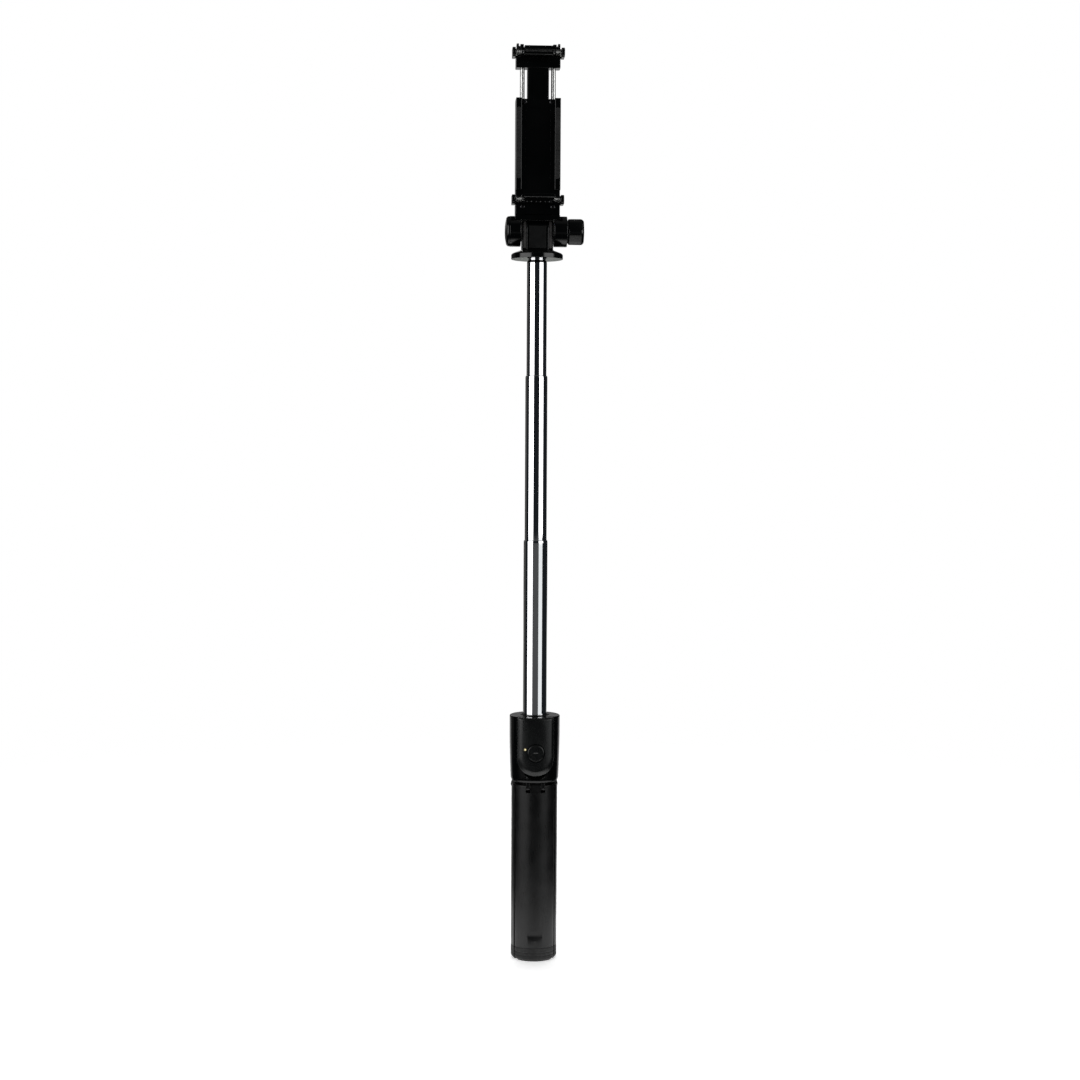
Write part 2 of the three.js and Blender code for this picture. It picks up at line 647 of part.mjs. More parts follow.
// The sliding upper part: a head with the upper jaw's ears, and a guide plate in the body.
function clampSlider() {
  const upright = [SLIDER_HEAD_BOTTOM, UPPER_JAW_UP + 2.2];
  const head = box([-CLAMP_HALF, CLAMP_HALF], [COVER_BACK, 4.8], upright);
  const plate = box([-5.6, 5.6], [-2.3, 1.8], [PLATE_BOTTOM, SLIDER_HEAD_BOTTOM + 1]);
  const seat = disc(ROD_RADIUS + FIT, [SLIDER_HEAD_BOTTOM - 1, ROD_TOP + FIT], SMALL_ROUND);
  const rodSeats = mirrored(seat.translate([ROD_OUT, ROD_BACK, 0]));
  const made = join(head, plate, jawEars(UPPER_JAW_UP), springStops());
  return cut(made, ...rodSeats, jawRoom(UPPER_JAW_UP), jawPinBore(UPPER_JAW_UP));
}

// A guide rod with its formed foot, which the clamp's spring pushes down on.
function guideRod(side) {
  const foot = disc(2, [PLATE_BOTTOM, PLATE_BOTTOM + ROD_FOOT], SMALL_ROUND);
  const rod = foot.add(disc(ROD_RADIUS, [PLATE_BOTTOM, ROD_TOP], SMALL_ROUND));
  return rod.translate([side * ROD_OUT, ROD_BACK, 0]);
}

class Helix extends THREE.Curve {
  constructor(radius, turns, bottom, top) {
    super();
    Object.assign(this, { radius, turns, bottom, top });
  }

  getPoint(t, target = new THREE.Vector3()) {
    const angle = 2 * Math.PI * this.turns * t;
    const z = this.bottom + (this.top - this.bottom) * t;
    return target.set(this.radius * Math.cos(angle), this.radius * Math.sin(angle), z);
  }
}

function clampSpring(side) {
  const [wire, radius, turns, sides] = [0.28, 1.72, 9, 5];
  const round = arc([0, 0], wire, 0, 2 * Math.PI, sides).slice(0, sides);
  const section = new THREE.Shape(round.map(([x, y]) => new THREE.Vector2(x, y)));
  const helix = new Helix(radius, turns, PLATE_BOTTOM + ROD_FOOT + 0.4, CAVITY_TOP - 0.4);
  const coil = new THREE.ExtrudeGeometry(section, { steps: 9 * turns, extrudePath: helix });
  return solid(coil).translate([side * ROD_OUT, ROD_BACK, 0]);
}

// A folding jaw drawn about its pin, reaching forward, with its gripping side towards +Z.
function jaw() {
  const reach = 13.4;
  const blade = [
    [0, -2],
    [-reach + 0.5, -1.15],
    [-reach, -0.7],
    [-reach, 1],
    [-reach + 0.4, 1.4],
    [-reach + 1.3, 1.4],
    [-reach + 1.8, -0.25],
    [-1, -0.25],
    [0, 1],
  ];
  const knuckle = disc(2, [-JAW_HALF, JAW_HALF], ROUND).rotate([0, 90, 0]);
  const bore = disc(0.99, [-JAW_HALF - 1, JAW_HALF + 1], SMALL_ROUND).rotate([0, 90, 0]);
  return cut(prismX(blade, [-JAW_HALF, JAW_HALF]).add(knuckle), bore);
}

function jawPad() {
  const ribs = Array.from({ length: 4 }, (_, i) => {
    const front = -10.9 + i * 2.2;
    return box([-6.9, 6.9], [front, front + 1.2], [-0.1, 0.4]);
  });
  return join(box([-7, 7], [-11.2, -2.4], [-0.2, 0.1]), ...ribs);
}

function jawTorsionSpring(side) {
  const [inner, outer] = [8.3, 11.5];
  const coil = ring(1.05, 1.7, [inner, outer], SMALL_ROUND).rotate([0, 90, 0]);
  return side > 0 ? coil : coil.mirror([1, 0, 0]);
}

function addJaw(parent, name, up, flip) {
  const group = groupAt(parent, 0, JAW_AXIS_OUT, up);
  const facing = (made) => (flip ? made.mirror([0, 0, 1]) : made);
  piece(`${name}_jaw`, facing(jaw()), "satinBlack", group);
  piece(`${name}_jaw_pad`, facing(jawPad()), "rubber", group);
  const pin = disc(PIN_RADIUS, [-EAR_OUTER + 0.1, EAR_OUTER - 0.1], SMALL_ROUND).rotate([0, 90, 0]);
  piece(`${name}_jaw_pin`, pin, "steel", group);
  piece(`${name}_jaw_spring_left`, jawTorsionSpring(-1), "steel", group);
  piece(`${name}_jaw_spring_right`, jawTorsionSpring(1), "steel", group);
}

function railPad() {
  return box([CHANNEL_HALF + 0.4, CLAMP_HALF - 0.4], [RAIL_FRONT - 0.55, RAIL_FRONT - FIT], [405, 441]);
}

function addClamp(parent) {
  piece("clamp_frame", clampFrame(), "satinBlack", parent);
  piece("clamp_front_cover", clampFrontCover(), "satinBlack", parent);
  coverScrewPlaces().forEach((place, i) => {
    piece(`cover_screw_${i + 1}`, coverScrew(place), "steel", parent);
  });
  const [right, left] = mirrored(railPad());
  piece("rail_pad_right", right, "rubber", parent);
  piece("rail_pad_left", left, "rubber", parent);
  piece("clamp_slider", clampSlider(), "satinBlack", parent);
  for (const [label, side] of [["left", -1], ["right", 1]]) {
    piece(`guide_rod_${label}`, guideRod(side), "steel", parent);
    piece(`clamp_spring_${label}`, clampSpring(side), "steel", parent);
  }
  addJaw(parent, "lower", LOWER_JAW_UP, false);
  addJaw(parent, "upper", UPPER_JAW_UP, true);
}

// ---------- assembly ----------

const stick = new THREE.Group();
const handle = groupAt(stick);
piece("upper_housing", upperHousing(), "satinBlack", handle);
piece("top_guide_ring", topGuideRing(), "satinBlack", handle);
piece("leg_hub", legHub(), "satinBlack", handle);
addLegs(handle);
addRemote(handle);
addPole(stick);
const head = groupAt(stick);
addSwivel(head);
addHead(head);
addHinge(head);
addKnob(head);
addClamp(head);

export default stick;
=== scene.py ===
import json
import math

import bmesh
import bpy
from mathutils import Matrix, Vector


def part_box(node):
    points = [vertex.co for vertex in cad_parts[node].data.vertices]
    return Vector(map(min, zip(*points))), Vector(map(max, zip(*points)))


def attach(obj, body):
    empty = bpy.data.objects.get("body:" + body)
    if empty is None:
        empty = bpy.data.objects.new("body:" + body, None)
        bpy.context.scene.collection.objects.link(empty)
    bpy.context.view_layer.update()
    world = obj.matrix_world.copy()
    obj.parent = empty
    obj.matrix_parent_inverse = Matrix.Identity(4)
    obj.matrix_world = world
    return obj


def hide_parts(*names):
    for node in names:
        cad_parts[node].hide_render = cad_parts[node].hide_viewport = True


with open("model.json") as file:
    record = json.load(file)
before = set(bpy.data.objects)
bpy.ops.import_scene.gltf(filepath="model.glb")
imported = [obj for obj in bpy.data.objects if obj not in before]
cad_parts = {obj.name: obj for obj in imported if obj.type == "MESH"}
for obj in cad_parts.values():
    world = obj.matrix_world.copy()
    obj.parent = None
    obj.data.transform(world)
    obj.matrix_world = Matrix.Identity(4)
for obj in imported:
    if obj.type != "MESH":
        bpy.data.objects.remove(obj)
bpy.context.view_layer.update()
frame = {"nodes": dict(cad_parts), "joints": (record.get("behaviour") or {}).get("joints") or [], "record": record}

MM = 0.001
MERGE = 1e-6
FINE = 128  # sides of the large round pieces
SMALL = 48  # sides of pins, screws and wire coils
JOINTS = {joint["name"]: joint for joint in frame["joints"]}


class Extent:
    """A CAD node's box: its corners, its middle and its size."""

    def __init__(self, node):
        self.low, self.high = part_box(node)
        self.middle = (self.low + self.high) / 2
        self.size = self.high - self.low


def pivot(joint):
    return Vector(JOINTS[joint]["pos_m"])


# ---------- outlines ----------


def arc(centre, radius, start, end, steps):
    """Points of an arc in a plane, from a start to an end angle in degrees."""
    angles = [math.radians(start + (end - start) * i / steps) for i in range(steps + 1)]
    return [(centre[0] + radius * math.cos(a), centre[1] + radius * math.sin(a)) for a in angles]


def filleted(points, radius, steps=4, closed=True):
    """An outline with its corners rounded. A point's own third value, if it has one, is its radius."""
    made = []
    count = len(points)
    for i, point in enumerate(points):
        here = Vector(point[:2])
        if not closed and i in (0, count - 1):
            made.append(tuple(here))
            continue
        before = Vector(points[i - 1][:2]) - here
        after = Vector(points[(i + 1) % count][:2]) - here
        reach = point[2] if len(point) > 2 else radius
        reach = min(reach, 0.48 * before.length, 0.48 * after.length)
        if not reach:
            made.append(tuple(here))
            continue
        first = here + before.normalized() * reach
        last = here + after.normalized() * reach
        for k in range(steps + 1):
            t = k / steps
            made.append(tuple(first * (1 - t) ** 2 + here * 2 * t * (1 - t) + last * t * t))
    return made


def rectangle(low, high):
    return [(low[0], low[1]), (high[0], low[1]), (high[0], high[1]), (low[0], high[1])]


# ---------- meshes ----------


def mesh_piece(name, vertices, faces):
    mesh = bpy.data.meshes.new(name)
    mesh.from_pydata([tuple(v) for v in vertices], [], faces)
    made = bmesh.new()
    made.from_mesh(mesh)
    bmesh.ops.remove_doubles(made, verts=made.verts, dist=MERGE)
    bmesh.ops.recalc_face_normals(made, faces=made.faces)
    made.to_mesh(mesh)
    made.free()
    piece = bpy.data.objects.new(name, mesh)
    bpy.context.scene.collection.objects.link(piece)
    return piece


def loft(name, rings, closed=False):
    """Skin over rings of points of equal count. Its ends are capped, or joined if it is closed."""
    count = len(rings[0])
    vertices = [point for ring in rings for point in ring]
    faces = []
    for i in range(len(rings) if closed else len(rings) - 1):
        a = i * count
        b = (i + 1) % len(rings) * count
        for k in range(count):
            n = (k + 1) % count
            faces.append((a + k, a + n, b + n, b + k))
    if not closed:
        faces.append(tuple(range(count)))
        faces.append(tuple(range(len(vertices) - count, len(vertices))))
    return mesh_piece(name, vertices, faces)


def placed(axis, a, b, along):
    """A point from two values across an axis and one along it."""
    return {"X": (along, a, b), "Y": (a, along, b), "Z": (a, b, along)}[axis]


def lathe(name, profile, axis="Z", centre=(0, 0, 0), sides=FINE, closed=False):
    """Turns (radius, along) points about a line through centre. Closed makes a ring."""
    turns = [2 * math.pi * k / sides for k in range(sides)]
    rings = []
    for radius, along in profile:
        ring = [placed(axis, radius * math.cos(t), radius * math.sin(t), along) for t in turns]
        rings.append([Vector(point) + Vector(centre) for point in ring])
    return loft(name, rings, closed)


def spindle(name, profile, edge, steps, axis="Z", centre=(0, 0, 0), sides=FINE):
    """A solid turned from an open profile whose corners are rounded."""
    return lathe(name, filleted(profile, edge, steps, closed=False), axis, centre, sides)


def rod(name, radius, start, end, axis="X", centre=(0, 0, 0), edge=0.0, sides=SMALL):
    """A round bar with broken edges."""
    profile = [(0, start), (radius, start), (radius, end), (0, end)]
    return spindle(name, profile, edge, 3, axis, centre, sides)


def tube_ring(name, inner, outer, start, end, axis="Z", centre=(0, 0, 0), edge=0.0, sides=FINE):
    profile = [(inner, start), (outer, start), (outer, end), (inner, end)]
    return lathe(name, filleted(profile, edge, 3), axis, centre, sides, closed=True)


def prism(name, outline, axis, start, end):
    """An outline pushed along an axis. Its points are (y, z), (x, z) or (x, y)."""
    rings = [[placed(axis, a, b, along) for a, b in outline] for along in (start, end)]
    return loft(name, rings)


def block(name, low, high):
    return prism(name, rectangle(low[:2], high[:2]), "Z", low[2], high[2])


def sweep(name, path, radius, sides=10):
    """A round wire along a path of points, with closed ends."""
    rings = []
    for i, point in enumerate(path):
        ahead = path[min(i + 1, len(path) - 1)] - path[max(i - 1, 0)]
        ahead.normalize()
        side = ahead.cross(Vector((0, 0, 1)) if abs(ahead.z) < 0.9 else Vector((1, 0, 0)))
        side.normalize()
        up = ahead.cross(side)
        if rings:
            side = (last_side - ahead * last_side.dot(ahead)).normalized()
            up = ahead.cross(side)
        last_side = side
        turns = [2 * math.pi * k / sides for k in range(sides)]
        rings.append([point + radius * (side * math.cos(t) + up * math.sin(t)) for t in turns])
    return loft(name, rings)


# ---------- mesh work ----------


def settle(piece):
    """Replaces a piece's mesh with what its modifiers make of it."""
    graph = bpy.context.evaluated_depsgraph_get()
    made = bpy.data.meshes.new_from_object(piece.evaluated_get(graph))
    before = piece.data
    piece.modifiers.clear()
    piece.data = made
    bpy.data.meshes.remove(before)
    return piece


def combine(piece, others, operation):
    for other in others:
        step = piece.modifiers.new("step", "BOOLEAN")
        step.operation = operation
        step.solver = "EXACT"
        step.object = other
        settle(piece)
        bpy.data.objects.remove(other)
        if not piece.data.vertices:
            raise ValueError(f"nothing is left of {piece.name}")
    return piece


def cut(piece, *others):
    return combine(piece, others, "DIFFERENCE")


def join(piece, *others):
    return combine(piece, others, "UNION")


def bevel(piece, width, steps=3, angle=35):
    """Rounds the edges of a piece that are sharper than an angle."""
    made = bmesh.new()
    made.from_mesh(piece.data)
    bmesh.ops.remove_doubles(made, verts=made.verts, dist=10 * MERGE)
    bmesh.ops.dissolve_limit(made, angle_limit=math.radians(0.5), verts=made.verts, edges=made.edges)
    made.to_mesh(piece.data)
    made.free()
    rounding = piece.modifiers.new("rounding", "BEVEL")
    rounding.width = width
    rounding.segments = steps
    rounding.limit_method = "ANGLE"
    rounding.angle_limit = math.radians(angle)
    rounding.use_clamp_overlap = True
    return settle(piece)


def smooth(piece, angle=38):
    """Smooth shading that keeps the flat faces flat and the sharp edges sharp."""
    piece.data.polygons.foreach_set("use_smooth", [True] * len(piece.data.polygons))
    piece.data.set_sharp_from_angle(angle=math.radians(angle))
    weighting = piece.modifiers.new("weighting", "WEIGHTED_NORMAL")
    weighting.keep_sharp = True
    weighting.weight = 80
    return settle(piece)


def mirrored(piece, name):
    """A copy of a piece on the other side of the plane X = 0."""
    copy = bpy.data.objects.new(name, piece.data.copy())
    bpy.context.scene.collection.objects.link(copy)
    copy.data.transform(Matrix.Scale(-1, 4, (1, 0, 0)))
    copy.data.flip_normals()
    return copy


def turned_copy(piece, name, angle):
    copy = bpy.data.objects.new(name, piece.data.copy())
    bpy.context.scene.collection.objects.link(copy)
    copy.data.transform(Matrix.Rotation(angle, 4, "Z"))
    return copy


def finished(piece, body, slot, material, *nodes):
    """Gives a piece its material, puts it on its body and lets it stand for CAD nodes."""
    smooth(piece)
    piece.data.materials.clear()
    piece.data.materials.append(material)
    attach(piece, body)
    if nodes:
        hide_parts(*nodes)
    return piece


# ---------- materials ----------


class Nodes:
    """A node tree, with short ways to add the nodes that the looks and lights share."""

    def __init__(self, tree):
        self.tree = tree

    def add(self, kind, **settings):
        node = self.tree.nodes.new(kind)
        for key, value in settings.items():
            setattr(node, key, value)
        return node

    def link(self, value, socket):
        self.tree.links.new(value, socket)

    def between(self, value, low, high, to_low, to_high):
        node = self.add("ShaderNodeMapRange", interpolation_type="SMOOTHSTEP")
        for key, number in (("From Min", low), ("From Max", high), ("To Min", to_low), ("To Max", to_high)):
            node.inputs[key].default_value = number
        self.link(value, node.inputs["Value"])
        return node.outputs["Result"]

    def maths(self, operation, a, b=0.0):
        node = self.add("ShaderNodeMath", operation=operation)
        for socket, value in zip(node.inputs, (a, b)):
            if isinstance(value, (int, float)):
                socket.default_value = value
            else:
                self.link(value, socket)
        return node.outputs["Value"]

    def mix(self, share, first, second):
        node = self.add("ShaderNodeMix", data_type="RGBA")
        for socket, value in zip((node.inputs[0], node.inputs[6], node.inputs[7]), (share, first, second)):
            if isinstance(value, tuple):
                socket.default_value = (*value, 1)
            elif isinstance(value, float):
                socket.default_value = value
            else:
                self.link(value, socket)
        return node.outputs[2]


class Surface(Nodes):
    """A node material about a Principled shader, placed by object coordinates."""

    def __init__(self, name, colour, roughness, metallic=0.0):
        self.material = bpy.data.materials.new(name)
        self.material.use_nodes = True
        super().__init__(self.material.node_tree)
        self.shader = self.tree.nodes["Principled BSDF"]
        self.colour = colour
        self.shader.inputs["Base Color"].default_value = (*colour, 1)
        self.shader.inputs["Roughness"].default_value = roughness
        self.shader.inputs["Metallic"].default_value = metallic
        self.place = self.add("ShaderNodeTexCoord").outputs["Object"]
        self.height = None

    def stretched(self, scale):
        mapping = self.add("ShaderNodeMapping")
        mapping.inputs["Scale"].default_value = scale
        self.link(self.place, mapping.inputs["Vector"])
        return mapping.outputs["Vector"]

    def noise(self, scale, detail=3.0, place=None, roughness=0.5, distortion=0.0):
        node = self.add("ShaderNodeTexNoise")
        node.inputs["Scale"].default_value = scale
        node.inputs["Detail"].default_value = detail
        node.inputs["Roughness"].default_value = roughness
        node.inputs["Distortion"].default_value = distortion
        self.link(place or self.place, node.inputs["Vector"])
        return node.outputs["Fac"]

    def cells(self, scale, place=None):
        node = self.add("ShaderNodeTexVoronoi", feature="F1")
        node.inputs["Scale"].default_value = scale
        self.link(place or self.place, node.inputs["Vector"])
        return node.outputs["Distance"]

    def tint(self, share, low, high):
        """Varies the base colour between two brightnesses of it."""
        dark = tuple(low * c for c in self.colour)
        light = tuple(high * c for c in self.colour)
        return self.mix(share, dark, light)

    def bump(self, height, depth, strength=1.0):
        node = self.add("ShaderNodeBump")
        node.inputs["Strength"].default_value = strength
        node.inputs["Distance"].default_value = depth
        self.link(height, node.inputs["Height"])
        if self.height:
            self.link(self.height, node.inputs["Normal"])
        self.height = node.outputs["Normal"]
        self.link(self.height, self.shader.inputs["Normal"])


def plastic(name, colour, roughness, grain=1.0, specular=0.5):
    """Moulded plastic: spark-eroded grain, cloudy gloss from handling, hairlines and specks of dust."""
    s = Surface(name, colour, roughness)
    s.shader.inputs["Specular IOR Level"].default_value = specular
    cloud = s.noise(90, 4, distortion=0.4)
    hairs = s.noise(1.0, 2, s.stretched((2600, 2600, 160)), 0.6)
    dust = s.between(s.cells(520), 0.10, 0.16, 1.0, 0.0)
    sparse = s.between(s.noise(240, 2), 0.62, 0.70, 0.0, 1.0)
    speck = s.maths("MULTIPLY", dust, sparse)
    base = s.tint(s.between(cloud, 0.3, 0.7, 0.0, 1.0), 0.8, 1.3)
    pale = tuple(3.2 * c + 0.008 for c in colour)
    s.link(s.mix(s.maths("MULTIPLY", speck, 0.55), base, pale), s.shader.inputs["Base Color"])
    gloss = s.between(cloud, 0.25, 0.75, 0.8 * roughness, 1.2 * roughness)
    worn = s.between(hairs, 0.60, 0.74, 0.0, 0.3 * roughness)
    s.link(s.maths("ADD", s.maths("SUBTRACT", gloss, worn), s.maths("MULTIPLY", speck, 0.25)),
           s.shader.inputs["Roughness"])
    s.bump(s.noise(4200, 3, roughness=0.55), 0.011 * MM * grain, 0.9)
    s.bump(s.between(hairs, 0.62, 0.72, 1.0, 0.0), 0.006 * MM, 0.5)
    return s.material


def rubber(name, colour):
    """Silicone rubber: dull, with a fine mottled skin and a trace of dust that it holds."""
    s = Surface(name, colour, 0.72)
    s.shader.inputs["Specular IOR Level"].default_value = 0.35
    s.shader.inputs["Sheen Weight"].default_value = 0.15
    s.shader.inputs["Sheen Roughness"].default_value = 0.5
    mottle = s.noise(700, 5, roughness=0.6)
    bloom = s.between(s.noise(110, 3), 0.45, 0.75, 0.0, 1.0)
    s.link(s.mix(bloom, s.tint(mottle, 0.75, 1.25), tuple(1.9 * c + 0.004 for c in colour)),
           s.shader.inputs["Base Color"])
    s.link(s.between(mottle, 0.3, 0.7, 0.62, 0.84), s.shader.inputs["Roughness"])
    s.bump(s.noise(3000, 4, roughness=0.65), 0.02 * MM, 1.0)
    return s.material


def polished_tube(name, colour, mouth=None):
    """Polished steel tube: bright, with faint draw lines along it and rings rubbed by the bushes.
    Above the height mouth it is painted near black: painted shade where the tube runs up under the head's disc."""
    s = Surface(name, colour, 0.06, 1.0)
    drawn = s.noise(1.0, 3, s.stretched((2400, 2400, 9)), 0.6)
    rubbed = s.noise(1.0, 2, s.stretched((30, 30, 1900)), 0.5)
    smear = s.noise(45, 4, distortion=0.8)
    bright = s.tint(s.between(smear, 0.3, 0.75, 1.0, 0.0), 0.93, 1.0)
    # Painted shade: near black above the mouth height, where the tube sits under the head's disc.
    if mouth is not None:
        split = s.add("ShaderNodeSeparateXYZ")
        s.link(s.place, split.inputs[0])
        black = s.between(split.outputs["Z"], mouth, mouth + 0.1 * MM, 0.0, 1.0)
        bright = s.mix(black, bright, (0.012, 0.012, 0.013))
    s.link(bright, s.shader.inputs["Base Color"])
    film = s.between(smear, 0.45, 0.8, 0.035, 0.10)
    lines = s.between(drawn, 0.56, 0.72, 0.0, 0.05)
    rings = s.between(rubbed, 0.64, 0.74, 0.0, 0.04)
    s.link(s.maths("ADD", film, s.maths("ADD", lines, rings)), s.shader.inputs["Roughness"])
    s.bump(drawn, 0.0004 * MM, 0.5)
    return s.material


def plated(name, colour, roughness, lines=(900, 900, 900)):
    """Plated or bright-drawn steel: fine tool lines, a few darker stains."""
    s = Surface(name, colour, roughness, 1.0)
    tooling = s.noise(1.0, 3, s.stretched(lines), 0.6)
    stain = s.noise(300, 4, distortion=0.6)
    s.link(s.tint(s.between(stain, 0.35, 0.7, 1.0, 0.0), 0.72, 1.0), s.shader.inputs["Base Color"])
    s.link(s.between(tooling, 0.3, 0.7, roughness - 0.08, roughness + 0.1), s.shader.inputs["Roughness"])
    s.bump(tooling, 0.004 * MM, 0.6)
    return s.material


def natural_nylon(name, colour):
    """Natural nylon: milky and slightly translucent, with flow marks."""
    s = Surface(name, colour, 0.45)
    s.shader.inputs["Subsurface Weight"].default_value = 0.25
    s.shader.inputs["Subsurface Radius"].default_value = (1.0 * MM, 1.0 * MM, 0.8 * MM)
    s.shader.inputs["Subsurface Scale"].default_value = 1.0
    flow = s.noise(1.0, 3, s.stretched((500, 500, 90)), 0.6, 0.5)
    s.link(s.tint(flow, 0.86, 1.08), s.shader.inputs["Base Color"])
    s.link(s.between(flow, 0.3, 0.7, 0.38, 0.55), s.shader.inputs["Roughness"])
    s.bump(flow, 0.006 * MM, 0.5)
    return s.material


def circuit_board(name, colour):
    """Solder resist over copper tracks, which show as paler lines."""
    s = Surface(name, colour, 0.35)
    tracks = s.between(s.cells(600), 0.30, 0.36, 0.0, 1.0)
    s.link(s.mix(tracks, s.tint(s.noise(800), 0.8, 1.2), (0.05, 0.25, 0.1)), s.shader.inputs["Base Color"])
    s.bump(tracks, 0.01 * MM, 0.6)
    return s.material


def lit_lens(name, colour):
    """A clear light pipe over a lit diode: a bright core, a dim rim."""
    s = Surface(name, colour, 0.15)
    away = s.add("ShaderNodeVectorMath", operation="SUBTRACT")
    away.inputs[1].default_value = Extent("remote_light").middle
    s.link(s.place, away.inputs[0])
    flat = s.add("ShaderNodeVectorMath", operation="MULTIPLY")
    flat.inputs[1].default_value = (1, 0, 1)
    s.link(away.outputs["Vector"], flat.inputs[0])
    reach = s.add("ShaderNodeVectorMath", operation="LENGTH")
    s.link(flat.outputs["Vector"], reach.inputs[0])
    core = s.between(reach.outputs["Value"], 0.15 * MM, 0.62 * MM, 1.0, 0.0)
    s.link(s.mix(core, (0.30, 0.20, 0.03), (1.0, 0.86, 0.45)), s.shader.inputs["Emission Color"])
    s.link(s.between(core, 0.0, 1.0, 0.25, 1.0), s.shader.inputs["Emission Strength"])
    s.shader.inputs["Coat Weight"].default_value = 0.6
    s.shader.inputs["Coat Roughness"].default_value = 0.05
    s.link(s.tint(s.noise(2500, 2), 0.5, 0.6), s.shader.inputs["Base Color"])
    return s.material


def printed_ink(name, colour):
    """Pad-printed ink, a little broken at its edges."""
    s = Surface(name, colour, 0.6)
    worn = s.between(s.noise(3500, 4, roughness=0.7), 0.35, 0.6, 0.0, 1.0)
    s.link(s.tint(worn, 0.45, 1.0), s.shader.inputs["Base Color"])
    s.bump(worn, 0.004 * MM, 0.5)
    return s.material


LOOKS = {
    "satin_black": plastic("satin black", (0.0010, 0.0011, 0.0011), 0.15, 0.2),
    "grip_black": plastic("grip black", (0.0016, 0.0016, 0.0017), 0.34, 0.9, 0.4),
    "remote_grey": plastic("remote charcoal", (0.0032, 0.0037, 0.0037), 0.27, 0.25),
    "rubber_black": rubber("black rubber", (0.007, 0.007, 0.007)),
    "polished_steel": polished_tube("polished steel tube", (0.86, 0.865, 0.88)),
    "plated_steel": plated("nickel plated steel", (0.62, 0.62, 0.61), 0.26),
    "blackened_steel": plated("black zinc plated steel", (0.05, 0.05, 0.052), 0.3),
    # The spring wire is kept darker than bright steel, as painted shade for coils that sit in shade at the jaws'
    # hinges.
    "spring_steel": plated("drawn spring wire", (0.40, 0.40, 0.39), 0.22, (1500, 300, 300)),
    "nylon": natural_nylon("natural nylon", (0.62, 0.61, 0.56)),
    "brass": plated("turned brass", (0.72, 0.52, 0.22), 0.3, (3000, 300, 300)),
    "circuit_board": circuit_board("green circuit board", (0.015, 0.12, 0.04)),
    "light_pipe": lit_lens("lit light pipe", (0.9, 0.85, 0.6)),
}
INK = printed_ink("grey ink", (0.13, 0.13, 0.13))
# Pale base colour: painted highlight for the lit fronts of the yoke's ribs; the rough grain is the strips' own
# surface.
RIB_PAINTED_HIGHLIGHT = plastic("black with painted rib highlight", (0.038, 0.036, 0.035), 0.5, 1.2)
MATTE = plastic("matte black", (0.0030, 0.0032, 0.0031), 0.5, 0.8, 0.25)
# Painted shade: section 3's tube turns near black for its top 1.3 mm, under the head's disc.
SHADED_MOUTH_TUBE = polished_tube("steel tube with painted shade at its mouth", (0.86, 0.865, 0.88),
                           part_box("pole_section_3")[1].z - 1.3 * MM)
KNOB_BLACK = plastic("knob black", (0.0012, 0.0013, 0.0013), 0.2, 0.4, 0.6)


def paint_cad_nodes():
    """Every CAD node gets the look of its slot; those that finer pieces stand for are hidden later."""
    for row in frame["record"]["subparts"]:
        node = frame["nodes"][row["node"]]
        node.data.materials.clear()
        node.data.materials.append(LOOKS[row["material_slot"]])


def part(piece, body, slot, *nodes):
    return finished(piece, body, slot, LOOKS[slot], *nodes)


# ---------- handle ----------

HOUSING = Extent("upper_housing")
RING = Extent("top_guide_ring")
REMOTE = Extent("remote_front_shell")
REMOTE_BACK = Extent("remote_rear_shell")
BUTTON = Extent("remote_button")
LIGHT = Extent("remote_light")
LIGHT_RADIUS = 0.7 * MM
LIGHT_PLACE = (LIGHT.low.x + LIGHT_RADIUS, 0, LIGHT.middle.z)
HANDLE_RADIUS = HOUSING.high.x
DOCK_GAP = 0.16 * MM
REMOTE_HALF = REMOTE.high.x
REMOTE_BOTTOM = REMOTE.low.z
REMOTE_CENTRE = REMOTE_BOTTOM + REMOTE_HALF


def remote_outline(inset, top, lift=0.0, corner=0.5 * MM):
    """The remote seen from the front, as (x, z): square above and half round below."""
    half = REMOTE_HALF - inset
    share = half / REMOTE_HALF
    centre = REMOTE_CENTRE + lift
    bottom = arc((0, centre), half, -180, 0, 48)
    flank = [i / 14 for i in range(1, 14)]
    rise = top - centre
    right = [(half, centre + rise * f) for f in flank]
    left = [(-half, centre + rise * (1 - f)) for f in flank]
    over = filleted([right[-1], (half, top), (-half, top), left[0]], corner * share, 4, closed=False)
    across = [over[5]] + [(half * share_x, top) for share_x in (0.7, 0.35, 0, -0.35, -0.7)] + [over[6]]
    return bottom + right + over[1:5] + across + over[7:-1] + left


def housing_skin():
    low, high = HOUSING.low.z, HOUSING.high.z
    radius = HANDLE_RADIUS
    profile = [
        (0, low),
        (radius - 1.1 * MM, low, 0.2 * MM),
        (radius - 0.65 * MM, low + 1.2 * MM, 1 * MM),
        (radius - 0.35 * MM, low + 9 * MM, 6 * MM),
        (radius, low + 22 * MM, 8 * MM),
        (radius, high, 0.75 * MM),
        (0, high),
    ]
    return spindle("upper_housing_shell", profile, 1 * MM, 8)


def dock_cutter():
    """The remote's recess, which flares where it breaks out of the housing below the remote."""
    depths = [(REMOTE_BACK.high.y + 0.1 * MM, 0), (-10.4 * MM, 0), (-11.2 * MM, 0.35), (-14.5 * MM, 3.5)]
    rings = []
    for y, flare in depths:
        outline = remote_outline(-DOCK_GAP - flare * MM, HOUSING.high.z + 2 * MM)
        rings.append([(x, y, z) for x, z in outline])
    return loft("dock", rings)


